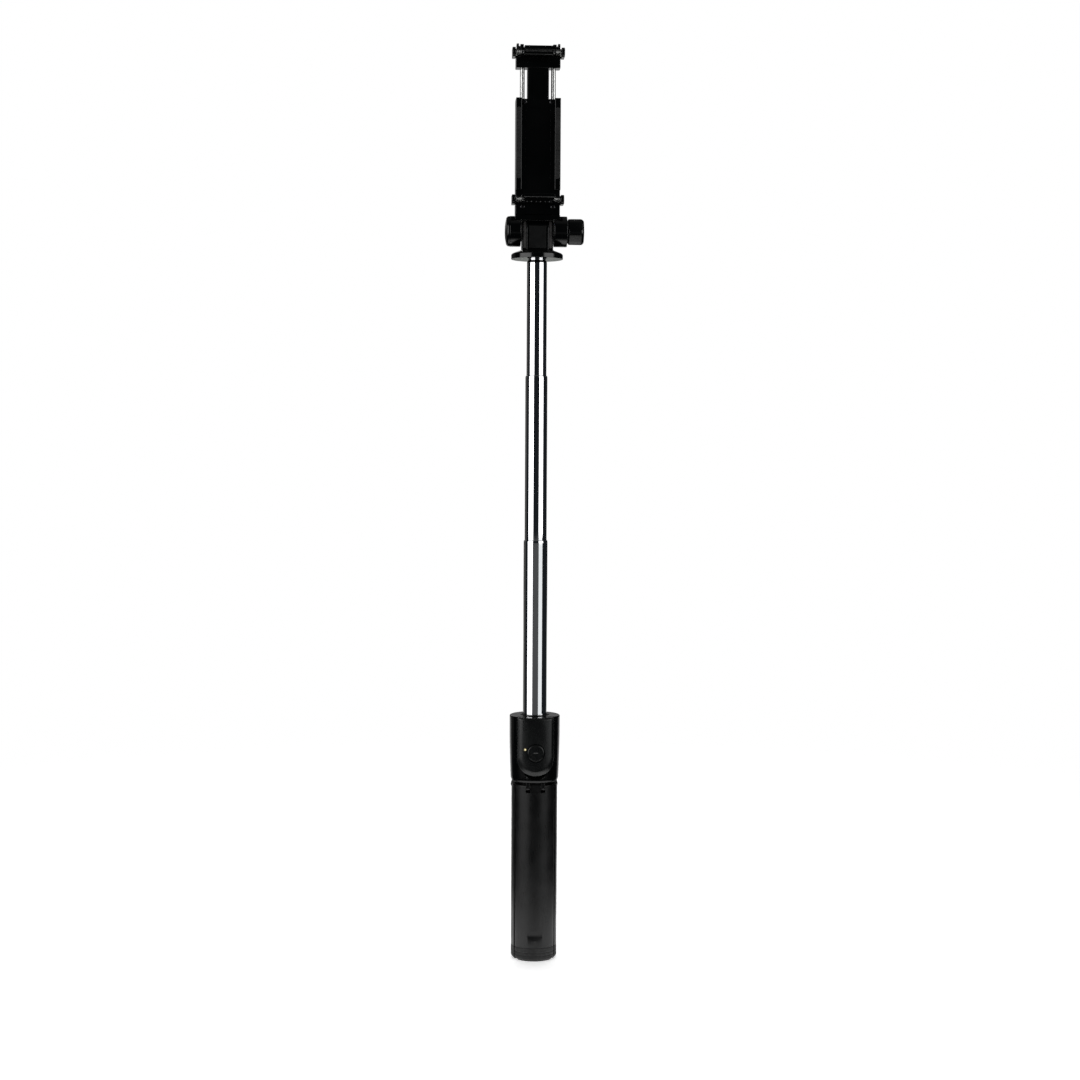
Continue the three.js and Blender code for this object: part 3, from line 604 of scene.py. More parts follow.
def make_housing():
    shell = housing_skin()
    lid_under = HOUSING.high.z - 2.4 * MM
    inner = 11.2 * MM
    hollow = rod("hollow", inner, HOUSING.low.z - 1 * MM, lid_under, "Z", sides=FINE)
    keep_low = (-11 * MM, -14 * MM, HOUSING.low.z + 1.5 * MM)
    keep = block("keep", keep_low, (11 * MM, -6.6 * MM, HOUSING.high.z))
    bore = rod("bore", RING.high.x + 0.05 * MM, HOUSING.low.z - 1 * MM, HOUSING.high.z + 1 * MM, "Z",
               sides=FINE)
    cut(shell, cut(hollow, keep), dock_cutter(), bore)
    bevel(shell, 0.12 * MM, 2, 50)
    part(shell, "handle", "satin_black", "upper_housing")


def make_guide_ring():
    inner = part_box("pole_section_1")[1].x + 0.06 * MM
    outer = RING.high.x
    low, high = RING.low.z, RING.high.z
    profile = [
        (inner, low),
        (outer, low),
        (outer, high - 0.35 * MM, 0.3 * MM),
        (outer - 0.5 * MM, high, 0.4 * MM),
        (inner + 0.35 * MM, high, 0.3 * MM),
        (inner, high - 0.5 * MM, 0.3 * MM),
    ]
    ring = lathe("pole_guide_ring", filleted(profile, 0.05 * MM, 4), closed=True)
    finished(ring, "handle", "satin_black", MATTE, "top_guide_ring")


# ---------- shutter remote ----------

FACE_CROWN = 26 * MM


def crown(x, radius=FACE_CROWN):
    return radius - math.sqrt(radius * radius - x * x)


def make_remote_front():
    front, back = REMOTE.low.y, REMOTE.high.y
    bevel_width, bevel_depth = 1.3 * MM, 1.6 * MM
    profile = filleted(
        [
            (0, back),
            (0, front + bevel_depth, 0.5 * MM),
            (bevel_width, front + 0.14 * MM, 0.9 * MM),
            (0.25 * REMOTE_HALF, front),
        ],
        0.3 * MM, 5, closed=False,
    )
    profile += [(REMOTE_HALF * f, front) for f in (0.3, 0.36, 0.42, 0.48, 0.54, 0.6, 0.66, 0.72, 0.78,
                                                   0.84, 0.9, 0.95, 0.985, 0.999)]
    rings = []
    for inset, y in profile:
        share = (back - y) / (back - front)
        top = REMOTE.high.z - 0.45 * inset
        outline = remote_outline(inset, top, 0.9 * min(inset, bevel_width))
        rings.append([(x, y + share * crown(x), z) for x, z in outline])
    shell = loft("remote_front_shell_finished", rings)
    middle = (0, 0, BUTTON.middle.z)
    reach = front - 1 * MM
    hole = BUTTON.high.x + 0.28 * MM
    well = lathe("well", [(0, -11.9 * MM), (hole, -11.9 * MM), (hole, front + 0.42 * MM),
                          (hole + 1.2 * MM, reach), (0, reach)], "Y", middle)
    lamp = rod("lamp", LIGHT_RADIUS + 0.08 * MM, -11.9 * MM, reach, "Y", LIGHT_PLACE)
    cut(shell, well, lamp)
    part(shell, "remote", "remote_grey", "remote_front_shell")


def make_remote_rear():
    """The back half, with a round battery door and its coin slot."""
    front, back = REMOTE_BACK.low.y, REMOTE_BACK.high.y
    outline = remote_outline(0.02 * MM, REMOTE_BACK.high.z)
    shell = prism("remote_rear_shell_finished", outline, "Y", front, back)
    bevel(shell, 0.28 * MM, 3)
    middle = (0, 0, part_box("remote_coin_cell")[0].z + 6.25 * MM)
    seam = tube_ring("seam", 7.0 * MM, 7.35 * MM, back - 0.3 * MM, back + 1 * MM, "Y", middle)
    slot = block("slot", (-3.2 * MM, back - 0.45 * MM, middle[2] - 0.55 * MM),
                 (3.2 * MM, back + 1 * MM, middle[2] + 0.55 * MM))
    cut(shell, seam, slot)
    part(shell, "remote", "remote_grey", "remote_rear_shell")


def make_button():
    front = BUTTON.low.y
    radius = BUTTON.high.x
    rim = radius - 1.3 * MM
    profile = [
        (0, front + 0.28 * MM),
        (rim * 0.5, front + 0.25 * MM, 1 * MM),
        (rim, front + 0.04 * MM, 0.8 * MM),
        (radius - 0.35 * MM, front + 0.05 * MM, 0.4 * MM),
        (radius, front + 0.5 * MM, 0.3 * MM),
        (radius, front + 0.7 * MM),
        (0, front + 0.7 * MM),
    ]
    middle = (0, 0, BUTTON.middle.z)
    cap = spindle("shutter_button_cap", profile, 0.3 * MM, 6, "Y", middle)
    part(cap, "shutter_button", "remote_grey", "remote_button")
    half, thick = 1.15 * MM, 0.17 * MM
    dash = filleted(rectangle((-half, -thick), (half, thick)), thick * 0.9, 5)
    outline = [(x, z + middle[2] + 0.1 * MM) for x, z in dash]
    mark = prism("button_mark", outline, "Y", front + 0.2 * MM, front + 0.34 * MM)
    finished(mark, "shutter_button", "remote_grey", INK)


def make_light():
    dome = REMOTE.low.y + crown(LIGHT_PLACE[0]) - 0.02 * MM
    profile = [(0, dome), (0.4 * MM, dome + 0.04 * MM), (0.66 * MM, dome + 0.22 * MM),
               (LIGHT_RADIUS, dome + 0.5 * MM), (LIGHT_RADIUS, -11.95 * MM), (0, -11.95 * MM)]
    lens = spindle("remote_light_lens", profile, 0.15 * MM, 4, "Y", LIGHT_PLACE, SMALL)
    part(lens, "remote", "light_pipe", "remote_light")


# ---------- pole ----------

DIMPLE_RADIUS = 0.62 * MM
DIMPLE_DEPTH = 0.34 * MM
DIMPLE_DOWN = 7 * MM  # below the section's top end
DIMPLED = {1: 180, 3: 0}  # section and the side its stop is punched on, in degrees from +X


def section_angles(dimple_at):
    """Angles round a tube, closer together near its dimple."""
    angles = [2.8125 * k for k in range(FINE)]
    if dimple_at is None:
        return angles
    near = [dimple_at + 0.75 * k for k in range(-16, 17)]
    far = [a for a in angles if abs((a - dimple_at + 180) % 360 - 180) > 12.5]
    return sorted({round(a % 360, 4) for a in near + far})


def make_pole_section(number):
    node = f"pole_section_{number}"
    low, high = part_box(node)
    radius, wall = high.x, 0.3 * MM
    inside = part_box(f"pole_section_{number + 1}")[1].x + 0.06 * MM if number < 4 else radius - wall
    profile = [
        (radius - wall, low.z),
        (radius - 0.05 * MM, low.z, 0.1 * MM),
        (radius, low.z + 0.3 * MM, 0.1 * MM),
        (radius, high.z - 1.0 * MM, 0.5 * MM),
        (radius - 0.14 * MM, high.z - 0.25 * MM, 0.25 * MM),
        (inside + 0.04 * MM, high.z, 0.1 * MM),
        (inside, high.z - 0.12 * MM, 0.1 * MM),
        (inside, high.z - 1.2 * MM),
        (radius - wall, high.z - 1.5 * MM),
    ]
    dimple_at = DIMPLED.get(number)
    rounded = filleted(profile, 0.02 * MM, 5)
    straight = max(range(len(rounded) - 1), key=lambda i: abs(rounded[i + 1][1] - rounded[i][1]))
    dimple_z = high.z - DIMPLE_DOWN
    if dimple_at is not None:
        rows = [(radius, dimple_z + 0.15 * MM * k) for k in range(-8, 9)]
        rounded[straight + 1:straight + 1] = rows
    angles = [math.radians(a) for a in section_angles(dimple_at)]
    rings = []
    for r, z in rounded:
        ring = []
        for angle in angles:
            depth = 0.0
            if dimple_at is not None and r > radius - 0.01 * MM:
                across = radius * math.remainder(angle - math.radians(dimple_at), 2 * math.pi)
                away = math.hypot(across, z - dimple_z) / DIMPLE_RADIUS
                depth = DIMPLE_DEPTH * max(0.0, 1 - away ** 4) ** 0.5 if away < 1 else 0.0
            ring.append(((r - depth) * math.cos(angle), (r - depth) * math.sin(angle), z))
        rings.append(ring)
    tube = loft(f"{node}_tube", rings, closed=True)
    # Section 3's top carries painted shade where it runs under the head's disc.
    look = SHADED_MOUTH_TUBE if number == 3 else LOOKS["polished_steel"]
    finished(tube, f"pole_{number}", "polished_steel", look, node)


# ---------- head ----------

HINGE = pivot("clamp_tilt")
HEAD = Extent("head_base")
YOKE_HALF = 8 * MM
YOKE_RADIUS = 5.9 * MM
YOKE_DEPTH = 5.5 * MM
RIB_INNER = 5.3 * MM
STRIP_INNER, STRIP_OUTER = 5.95 * MM, 7.3 * MM  # of the strips down the ribs' fronts that carry a painted highlight
PANEL_HALF = 4.4 * MM
PANEL_FRONT = 4.95 * MM  # how far the field between the ribs stands in front of the pole's axis
PANEL_TOP = HINGE.z + 2.5 * MM
DISC_THICK = 2.9 * MM
DISC_TOP = HEAD.low.z + 4.5 * MM


def yoke_outline(depth, foot):
    """The yoke from the side, as (y, z): a round top about the hinge on a shallower neck."""
    under = math.degrees(math.acos(depth / YOKE_RADIUS))
    return [*arc((0, HINGE.z), YOKE_RADIUS, -under, 180 + under, 32), (-depth, foot), (depth, foot)]


def rib_strip(name, side, proud):
    """A thin strip that follows the front of one of the yoke's ribs up and over the hinge."""
    span = sorted((side * STRIP_INNER, side * STRIP_OUTER))
    foot = DISC_TOP + 0.8 * MM
    lean = math.degrees(math.acos(YOKE_DEPTH / YOKE_RADIUS))
    front = arc((0, HINGE.z), YOKE_RADIUS + proud, 122, 180 + lean, 16)
    back = arc((0, HINGE.z), YOKE_RADIUS - 0.4 * MM, 180 + lean, 122, 16)
    outline = [*front, (-YOKE_DEPTH - proud, foot), (0.4 * MM - YOKE_DEPTH, foot), *back]
    return prism(name, outline, "X", *span)


# A strip for one rib's front, later given a pale colour as painted highlight.
def painted_highlight_rib(side):
    return bevel(rib_strip(f"yoke_rib_{'left' if side < 0 else 'right'}", side, 0), 0.06 * MM, 2)


def yoke_panel(name, proud):
    """The flat matte field at the front of the yoke, between its ribs."""
    low = (-PANEL_HALF, -PANEL_FRONT - proud, DISC_TOP + 0.9 * MM)
    return block(name, low, (PANEL_HALF, 0.3 * MM - PANEL_FRONT, PANEL_TOP))


def make_head():
    radius = HEAD.high.x
    low = HEAD.low.z
    profile = [
        (0, low),
        (radius - 0.1 * MM, low, 0.03 * MM),
        (radius, low + 0.1 * MM, 0.03 * MM),
        (radius, low + 2.3 * MM, 0.35 * MM),
        (radius - 0.5 * MM, low + DISC_THICK, 0.4 * MM),
        (8.7 * MM, DISC_TOP, 1.2 * MM),
        (0, DISC_TOP),
    ]
    base = spindle("head_disc_and_yoke", profile, 0.3 * MM, 6)
    inside = YOKE_RADIUS - 0.1 * MM
    recessed = PANEL_FRONT
    shoulder = math.degrees(math.acos(recessed / inside))
    core_outline = [*arc((0, HINGE.z), inside, shoulder, 180 - shoulder, 28),
                    (-recessed, DISC_TOP - 1 * MM), (recessed, DISC_TOP - 1 * MM)]
    core = prism("core", core_outline, "X", -5.6 * MM, 5.6 * MM)
    ribs = []
    for side in (-1, 1):
        span = sorted((side * RIB_INNER, side * YOKE_HALF))
        rib = prism(f"rib{side}", yoke_outline(YOKE_DEPTH, DISC_TOP - 1 * MM), "X", *span)
        ribs.append(bevel(rib, 0.3 * MM, 4))
    foot = lathe("foot", filleted([(0, DISC_TOP - 0.6 * MM), (9.4 * MM, DISC_TOP - 0.6 * MM),
                                   (8.6 * MM, DISC_TOP + 0.2 * MM), (0, DISC_TOP + 0.2 * MM)],
                                  0.3 * MM, 3, closed=False))
    join(base, foot, core, *ribs)
    socket = rod("socket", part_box("pole_section_4")[1].x + 0.1 * MM, low - 1 * MM, 367.8 * MM, "Z")
    bore = rod("bore", 2.1 * MM, -10 * MM, 10 * MM, "X", HINGE)
    faces = [painted_highlight_rib(side) for side in (-1, 1)]
    panel = bevel(yoke_panel("yoke_panel", 0), 0.04 * MM, 2)
    rooms = [rib_strip(f"rib_room{side}", side, 1 * MM) for side in (-1, 1)]
    cut(base, socket, bore, yoke_panel("panel_room", 0.3 * MM), *rooms)
    bevel(base, 0.1 * MM, 2, 50)
    part(base, "head", "satin_black", "head_base")
    finished(panel, "head", "satin_black", MATTE)
    # The rib strips are pale: painted highlight where the rib fronts catch the light.
    for face in faces:
        finished(face, "head", "satin_black", RIB_PAINTED_HIGHLIGHT)


def make_hinge_cap():
    cap = Extent("hinge_cap")
    inner, outer = cap.high.x, cap.low.x
    radius = LOBE_RADIUS - 0.1 * MM
    profile = [
        (0, inner),
        (radius, inner, 0.1 * MM),
        (radius - 0.1 * MM, inner - 0.9 * MM, 0.4 * MM),
        (radius - 0.75 * MM, outer + 0.75 * MM, 1.0 * MM),
        (radius * 0.45, outer + 0.06 * MM, 2 * MM),
        (0, outer),
    ]
    dome = spindle("hinge_cap_dome", profile, 0.5 * MM, 8, "X", (0, 0, HINGE.z))
    part(dome, "clamp", "satin_black", "hinge_cap")


def hexagon_at_hinge(radius):
    return [(HINGE.y + y, HINGE.z + z) for y, z in arc((0, 0), radius, 0, 300, 5)]


def make_hinge_bolt():
    """The bolt's shank and its hexagon head."""
    shank = rod("hinge_bolt_finished", 2 * MM, -13 * MM, 21.5 * MM, "X", HINGE, 0.3 * MM)
    hexagon = hexagon_at_hinge(3.6 * MM)
    join(shank, bevel(prism("hexagon", hexagon, "X", -14.2 * MM, -12.4 * MM), 0.2 * MM, 2))
    part(shank, "clamp", "plated_steel", "hinge_bolt")


# ---------- tension knob ----------

KNOB = Extent("hinge_knob")
KNOB_TURN = 9
KNOB_FACETS = 6


def knob_ring(x, inset, flatness):
    """One ring of the knob: a hexagon with round corners; flatness 0 makes it a circle."""
    radius = KNOB.size.z / 2 - inset
    apothem = (7.6 * math.cos(math.pi / KNOB_FACETS)) * MM - inset
    points = []
    for k in range(FINE + 16):
        angle = 2 * math.pi * k / (FINE + 16)
        step = 2 * math.pi / KNOB_FACETS
        off = (angle - math.radians(KNOB_TURN)) % step - step / 2
        flat = apothem / math.cos(off)
        soft = -0.12 * MM * math.log(math.exp(-radius / (0.12 * MM)) + math.exp(-flat / (0.12 * MM)))
        reach = radius + (soft - radius) * flatness
        points.append((x, HINGE.y + reach * math.cos(angle), HINGE.z + reach * math.sin(angle)))
    return points


def make_knob():
    inner, outer = KNOB.low.x, KNOB.high.x
    profile = filleted(
        [
            (6.0 * MM, inner),
            (1.0 * MM, inner, 0.2 * MM),
            (0.05 * MM, inner + 0.5 * MM, 0.3 * MM),
            (0, outer - 1.1 * MM, 0.6 * MM),
            (1.0 * MM, outer - 0.05 * MM, 0.5 * MM),
            (2.6 * MM, outer - 0.1 * MM, 0.3 * MM),
            (3.0 * MM, outer - 0.45 * MM, 0.3 * MM),
            (7.2 * MM, outer - 0.45 * MM),
        ],
        0.3 * MM, 5, closed=False,
    )
    rings = [knob_ring(x, inset, max(0.0, 1 - inset / (2.4 * MM))) for inset, x in profile]
    knob = loft("tension_knob_cap", rings)
    room = rod("room", 2.3 * MM, inner - 1 * MM, outer - 2 * MM, "X", HINGE)
    cut(knob, room)
    finished(knob, "tension_knob", "remote_grey", KNOB_BLACK, "hinge_knob")


# ---------- clamp ----------

FRAME = Extent("clamp_frame")
COVER = Extent("clamp_front_cover")
SLIDER = Extent("clamp_slider")
LOWER = pivot("lower_jaw_fold")
UPPER = pivot("upper_jaw_fold")
CLAMP_HALF = COVER.high.x
LOBE_RADIUS = 7.85 * MM
EAR_INNER = 11.75 * MM
EAR_OUTER = 13.4 * MM
EAR_RADIUS = 2.4 * MM
PIN_RADIUS = 0.9 * MM
PIN_BORE = 0.95 * MM
KNUCKLE_ROOM = 2.35 * MM  # radius of the room that the jaws' knuckles turn in
LOBES = {-1: (-14.3 * MM, -8.6 * MM), 1: (8.6 * MM, 15.3 * MM)}


def make_lobe(side):
    """A hinge barrel of the clamp."""
    inner, outer = sorted(LOBES[side], key=abs)
    profile = [
        (0, outer),
        (LOBE_RADIUS, outer, 0.3 * MM),
        (LOBE_RADIUS, inner, 0.3 * MM),
        (0, inner),
    ]
    return spindle(f"lobe{side}", profile, 0.2 * MM, 4, "X", HINGE)


def ear_outline(up, back=1 * MM):
    """An ear from the side, as (y, z): round about the jaw's pin and straight to the clamp's body."""
    nose = arc((LOWER.y, up), EAR_RADIUS, 90, 270, 24)
    return [*nose, (back, up - EAR_RADIUS), (back, up + EAR_RADIUS)]


def ears(up):
    made = []
    for side in (-1, 1):
        ear = prism(f"ear{side}", ear_outline(up), "X", *sorted((side * EAR_INNER, side * EAR_OUTER)))
        bevel(ear, 0.3 * MM, 3)
        tie = block(f"tie{side}", (side * EAR_OUTER if side < 0 else CLAMP_HALF - 0.6 * MM, -1.9 * MM,
                                   up - EAR_RADIUS + 0.2 * MM),
                    (-CLAMP_HALF + 0.6 * MM if side < 0 else EAR_OUTER, 0.9 * MM,
                     up + EAR_RADIUS - 0.2 * MM))
        made += [ear, bevel(tie, 0.3 * MM, 2)]
    return made


def back_windows(low, high, count, depth):
    """A ladder of shallow recesses with round corners, cut into the clamp's back."""
    gap = 1.6 * MM
    pitch = (high - low) / count
    made = []
    for i in range(count):
        span = (low + i * pitch + gap / 2, low + (i + 1) * pitch - gap / 2)
        outline = filleted(rectangle((-7.6 * MM, span[0]), (7.6 * MM, span[1])), 1.6 * MM, 6)
        made.append(prism(f"window{i}", outline, "Y", FRAME.high.y - depth, FRAME.high.y + 5 * MM))
    return made


def make_clamp_frame():
    body_front = COVER.high.y + 0.05 * MM
    back = 5.4 * MM
    side = filleted(
        [
            (-5.4 * MM, HINGE.z - 1 * MM, 0.1 * MM),
            (-5.4 * MM, 386.9 * MM, 0.5 * MM),
            (body_front, 386.9 * MM, 0.1 * MM),
            (body_front, FRAME.high.z, 0.4 * MM),
            (back, FRAME.high.z, 0.9 * MM),
            (back, 389 * MM, 3 * MM),
            (4.5 * MM, 386 * MM, 3 * MM),
            (4.5 * MM, HINGE.z - 1 * MM, 0.1 * MM),
        ],
        0.3 * MM, 5,
    )
    body = prism("clamp_frame_finished", side, "X", -CLAMP_HALF, CLAMP_HALF)
    bevel(body, 0.55 * MM, 4)
    join(body, make_lobe(-1), make_lobe(1), *ears(LOWER.z))
    gap = block("gap", (-8.6 * MM, -9 * MM, HINGE.z - 9 * MM), (8.6 * MM, 9 * MM, HINGE.z + 5.6 * MM))
    pocket = rod("pocket", YOKE_RADIUS + 0.5 * MM, -8.6 * MM, 8.6 * MM, "X", HINGE, sides=FINE)
    cavity = block("cavity", (-10.2 * MM, -5 * MM, 397 * MM), (10.2 * MM, 4.1 * MM, 443 * MM))
    slot = block("slot", (-5.75 * MM, -5 * MM, 440 * MM), (5.75 * MM, 1.95 * MM, 450 * MM))
    pin_bore = rod("pin_bore", PIN_BORE, -15 * MM, 15 * MM, "X", (0, LOWER.y, LOWER.z))
    cuts = [gap, pocket, cavity, slot, pin_bore]
    for side_x in (-1, 1):
        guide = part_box("guide_rod_right")
        centre = (side_x * (guide[0].x + guide[1].x) / 2, (guide[0].y + guide[1].y) / 2, 0)
        cuts.append(rod(f"rod_hole{side_x}", 1.32 * MM, 440 * MM, 450 * MM, "Z", centre))
    cut(body, *cuts, *back_windows(396 * MM, 441 * MM, 3, 0.7 * MM))
    cut(body, prism("seat", hexagon_at_hinge(3.75 * MM), "X", -15 * MM, -12.35 * MM),
        rod("bolt_bore", 2.05 * MM, -16 * MM, 16 * MM, "X", HINGE))
    bevel(body, 0.12 * MM, 2, 50)
    part(body, "clamp", "satin_black", "clamp_frame")


def make_front_cover():
    front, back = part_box("cover_screw_1")[0].y + 0.7 * MM, COVER.high.y
    low, high = COVER.low.z, COVER.high.z
    outline = filleted(rectangle((-CLAMP_HALF, low), (CLAMP_HALF, high)), 0.8 * MM, 5)
    plate = bevel(prism("clamp_front_cover_finished", outline, "Y", front, back), 0.3 * MM, 3)
    rails = []
    for side in (-1, 1):
        section = rectangle((min(side * 8.5 * MM, side * CLAMP_HALF), COVER.low.y),
                            (max(side * 8.5 * MM, side * CLAMP_HALF), front + 0.3 * MM))
        rail = prism(f"rail{side}", filleted(section, 0.35 * MM, 4), "Z", 399.4 * MM, high - 0.05 * MM)
        rails.append(bevel(rail, 0.2 * MM, 3, 60))
    join(plate, *rails)
    room = rod("room", KNUCKLE_ROOM, -EAR_INNER, EAR_INNER, "X", (0, LOWER.y, LOWER.z), sides=FINE)
    channel = filleted(rectangle((-6.4 * MM, 401.5 * MM), (6.4 * MM, high - 4.5 * MM)), 2 * MM, 6)
    cut(plate, room, prism("channel", channel, "Y", front - 1 * MM, front + 0.35 * MM))
    bevel(plate, 0.1 * MM, 2, 50)
    part(plate, "clamp", "satin_black", "clamp_front_cover")


def make_screw(number):
    """A pan-head screw with a cross recess."""
    node = f"cover_screw_{number}"
    extent = Extent(node)
    x, z = extent.middle.x, extent.middle.z
    front = extent.low.y
    head, shank, under = 1.3 * MM, 0.7 * MM, front + 0.68 * MM
    profile = [
        (0, front + 0.02 * MM),
        (0.9 * MM, front + 0.1 * MM, 0.3 * MM),
        (head, front + 0.5 * MM, 0.15 * MM),
        (head, under),
        (shank, under),
        (shank, extent.high.y),
        (0, extent.high.y),
    ]
    screw = spindle(f"{node}_finished", profile, 0.1 * MM, 4, "Y", (x, 0, z), SMALL)
    turn = math.radians(20 + 37 * number)
    for k in range(2):
        bar = block(f"cross{k}", (-0.75 * MM, -0.5 * MM, -0.14 * MM), (0.75 * MM, 0.45 * MM, 0.14 * MM))
        crossed = Matrix.Rotation(turn + k * math.pi / 2, 4, "Y")
        bar.data.transform(Matrix.Translation((x, front, z)) @ crossed)
        cut(screw, bar)
    part(screw, "clamp", "blackened_steel", node)


def make_rail_pads():
    pad = Extent("rail_pad_right")
    outline = filleted(rectangle((pad.low.x, pad.low.z), (pad.high.x, pad.high.z)), 1 * MM, 6)
    right = prism("rail_pad_right_finished", outline, "Y", pad.low.y, pad.high.y)
    bevel(right, 0.2 * MM, 3)
    grooves = []
    for i in range(17):
        z = pad.low.z + (i + 1) * pad.size.z / 18
        grooves.append(rod(f"groove{i}", 0.28 * MM, pad.low.x - 1 * MM, pad.high.x + 1 * MM, "X",
                           (0, pad.low.y - 0.08 * MM, z), sides=12))
    cut(right, *grooves)
    left = mirrored(right, "rail_pad_left_finished")
    part(right, "clamp", "rubber_black", "rail_pad_right")
    part(left, "clamp", "rubber_black", "rail_pad_left")


def make_slider():
    head_low = 462 * MM
    front, back = COVER.high.y, SLIDER.high.y
    top = UPPER.z + 2.2 * MM
    side = filleted(
        [
            (front, head_low, 0.5 * MM),
            (front, top, 0.5 * MM),
            (back, top, 1.4 * MM),
            (back, head_low, 0.9 * MM),
        ],
        0.3 * MM, 5,
    )
    head = bevel(prism("clamp_slider_finished", side, "X", -CLAMP_HALF, CLAMP_HALF), 0.5 * MM, 4)
    plate = block("plate", (-5.6 * MM, -2.3 * MM, SLIDER.low.z), (5.6 * MM, 1.8 * MM, head_low + 1 * MM))
    bevel(plate, 0.4 * MM, 3)
    window = filleted(rectangle((-3.4 * MM, 447.5 * MM), (3.4 * MM, 459.5 * MM)), 1.2 * MM, 5)
    cut(plate, prism("window", window, "Y", -3 * MM, -1.8 * MM))
    stops = []
    for side_x in (-1, 1):
        for low, high, drop in ((10.0, 11.2, 0.0), (7.5, 9.3, 0.3)):
            span = sorted((side_x * low * MM, side_x * high * MM))
            outline = filleted(rectangle((UPPER.y + 1 * MM, UPPER.z + 2 * MM),
                                         (1 * MM, SLIDER.high.z - drop * MM)), 0.5 * MM, 4)
            stop = prism(f"stop{side_x}{low}", outline, "X", *span)
            stops.append(bevel(stop, 0.22 * MM, 3))
        web = rectangle((-3.6 * MM, top - 1 * MM), (0.6 * MM, top + 1.2 * MM))
        span = sorted((side_x * 9.1 * MM, side_x * 10.2 * MM))
        stops.append(prism(f"web{side_x}", filleted(web, 0.3 * MM), "X", *span))
    join(head, plate, *stops, *ears(UPPER.z))
    room = rod("room", KNUCKLE_ROOM, -EAR_INNER, EAR_INNER, "X", (0, UPPER.y, UPPER.z), sides=FINE)
    bore = rod("pin_bore", PIN_BORE, -15 * MM, 15 * MM, "X", (0, UPPER.y, UPPER.z))
    recess = filleted(rectangle((-7.4 * MM, head_low + 2 * MM), (7.4 * MM, top - 2 * MM)), 1.2 * MM, 5)
    cut(head, room, bore, prism("recess", recess, "Y", back - 0.6 * MM, back + 1 * MM))
    bevel(head, 0.1 * MM, 2, 50)
    part(head, "slider", "satin_black", "clamp_slider")


def make_guide_rods():
    for label in ("left", "right"):
        node = f"guide_rod_{label}"
        extent = Extent(node)
        low, high = extent.low.z, extent.high.z
        foot, shaft, foot_top = 2 * MM, 1.2 * MM, low + 1.2 * MM
        profile = [
            (0, low),
            (foot, low, 0.2 * MM),
            (foot, foot_top, 0.2 * MM),
            (shaft, foot_top),
            (shaft, high, 0.2 * MM),
            (0, high),
        ]
        centre = (extent.middle.x, extent.middle.y, 0)
        made = spindle(f"{node}_finished", profile, 0.05 * MM, 3, "Z", centre, SMALL)
        part(made, "slider", "plated_steel", node)


def coil(centre, radius, start, end, turns, axis, phase=0.0, steps=20):
    """Points of a helix about a line through centre."""
    points = []
    for k in range(int(turns * steps) + 1):
        angle = phase + 2 * math.pi * k / steps
        along = start + (end - start) * k / (turns * steps)
        offset = placed(axis, radius * math.cos(angle), radius * math.sin(angle), along)
        points.append(Vector(centre) + Vector(offset))
    return points


def make_jaw_spring(name, body, up, side, flip):
    """A torsion spring on the jaw's pin: close coils, one tail under the blade, one against the clamp."""
    node = f"{name}_jaw_spring_{'left' if side < 0 else 'right'}"
    wire, radius, turns = 0.27 * MM, 1.42 * MM, 4.75
    inner, outer = side * 8.55 * MM, side * 11.4 * MM
    centre = Vector((0, LOWER.y, up))
    way = -1 if flip else 1
    path = coil((0, centre.y, up), radius, inner, outer, turns, "X", phase=math.pi / 2 * way)
    start, end = path[0], path[-1]
    tail_forward = [start + Vector((0, -t * MM, 0)) for t in (5.5, 4, 2.5, 1)]
    tail_up = [end + Vector((0, 0.35 * t * MM, way * t * MM)) for t in (0.8, 1.6, 2.1)]
    spring = sweep(f"{node}_coil", [*tail_forward, *path, *tail_up], wire, 10)
    part(spring, body, "spring_steel", node)


def make_pin(name, body, up):
    pin = rod(f"{name}_jaw_pin_finished", PIN_RADIUS, -EAR_OUTER + 0.05 * MM, EAR_OUTER - 0.05 * MM, "X",
              (0, LOWER.y, up), 0.2 * MM)
    part(pin, body, "plated_steel", f"{name}_jaw_pin")


# ---------- jaws ----------

JAW_HALF = 7.65 * MM
JAW_REACH = 13.4 * MM


def flipped(points, flip):
    return [(p[0], -p[1], *p[2:]) if flip else p for p in points]


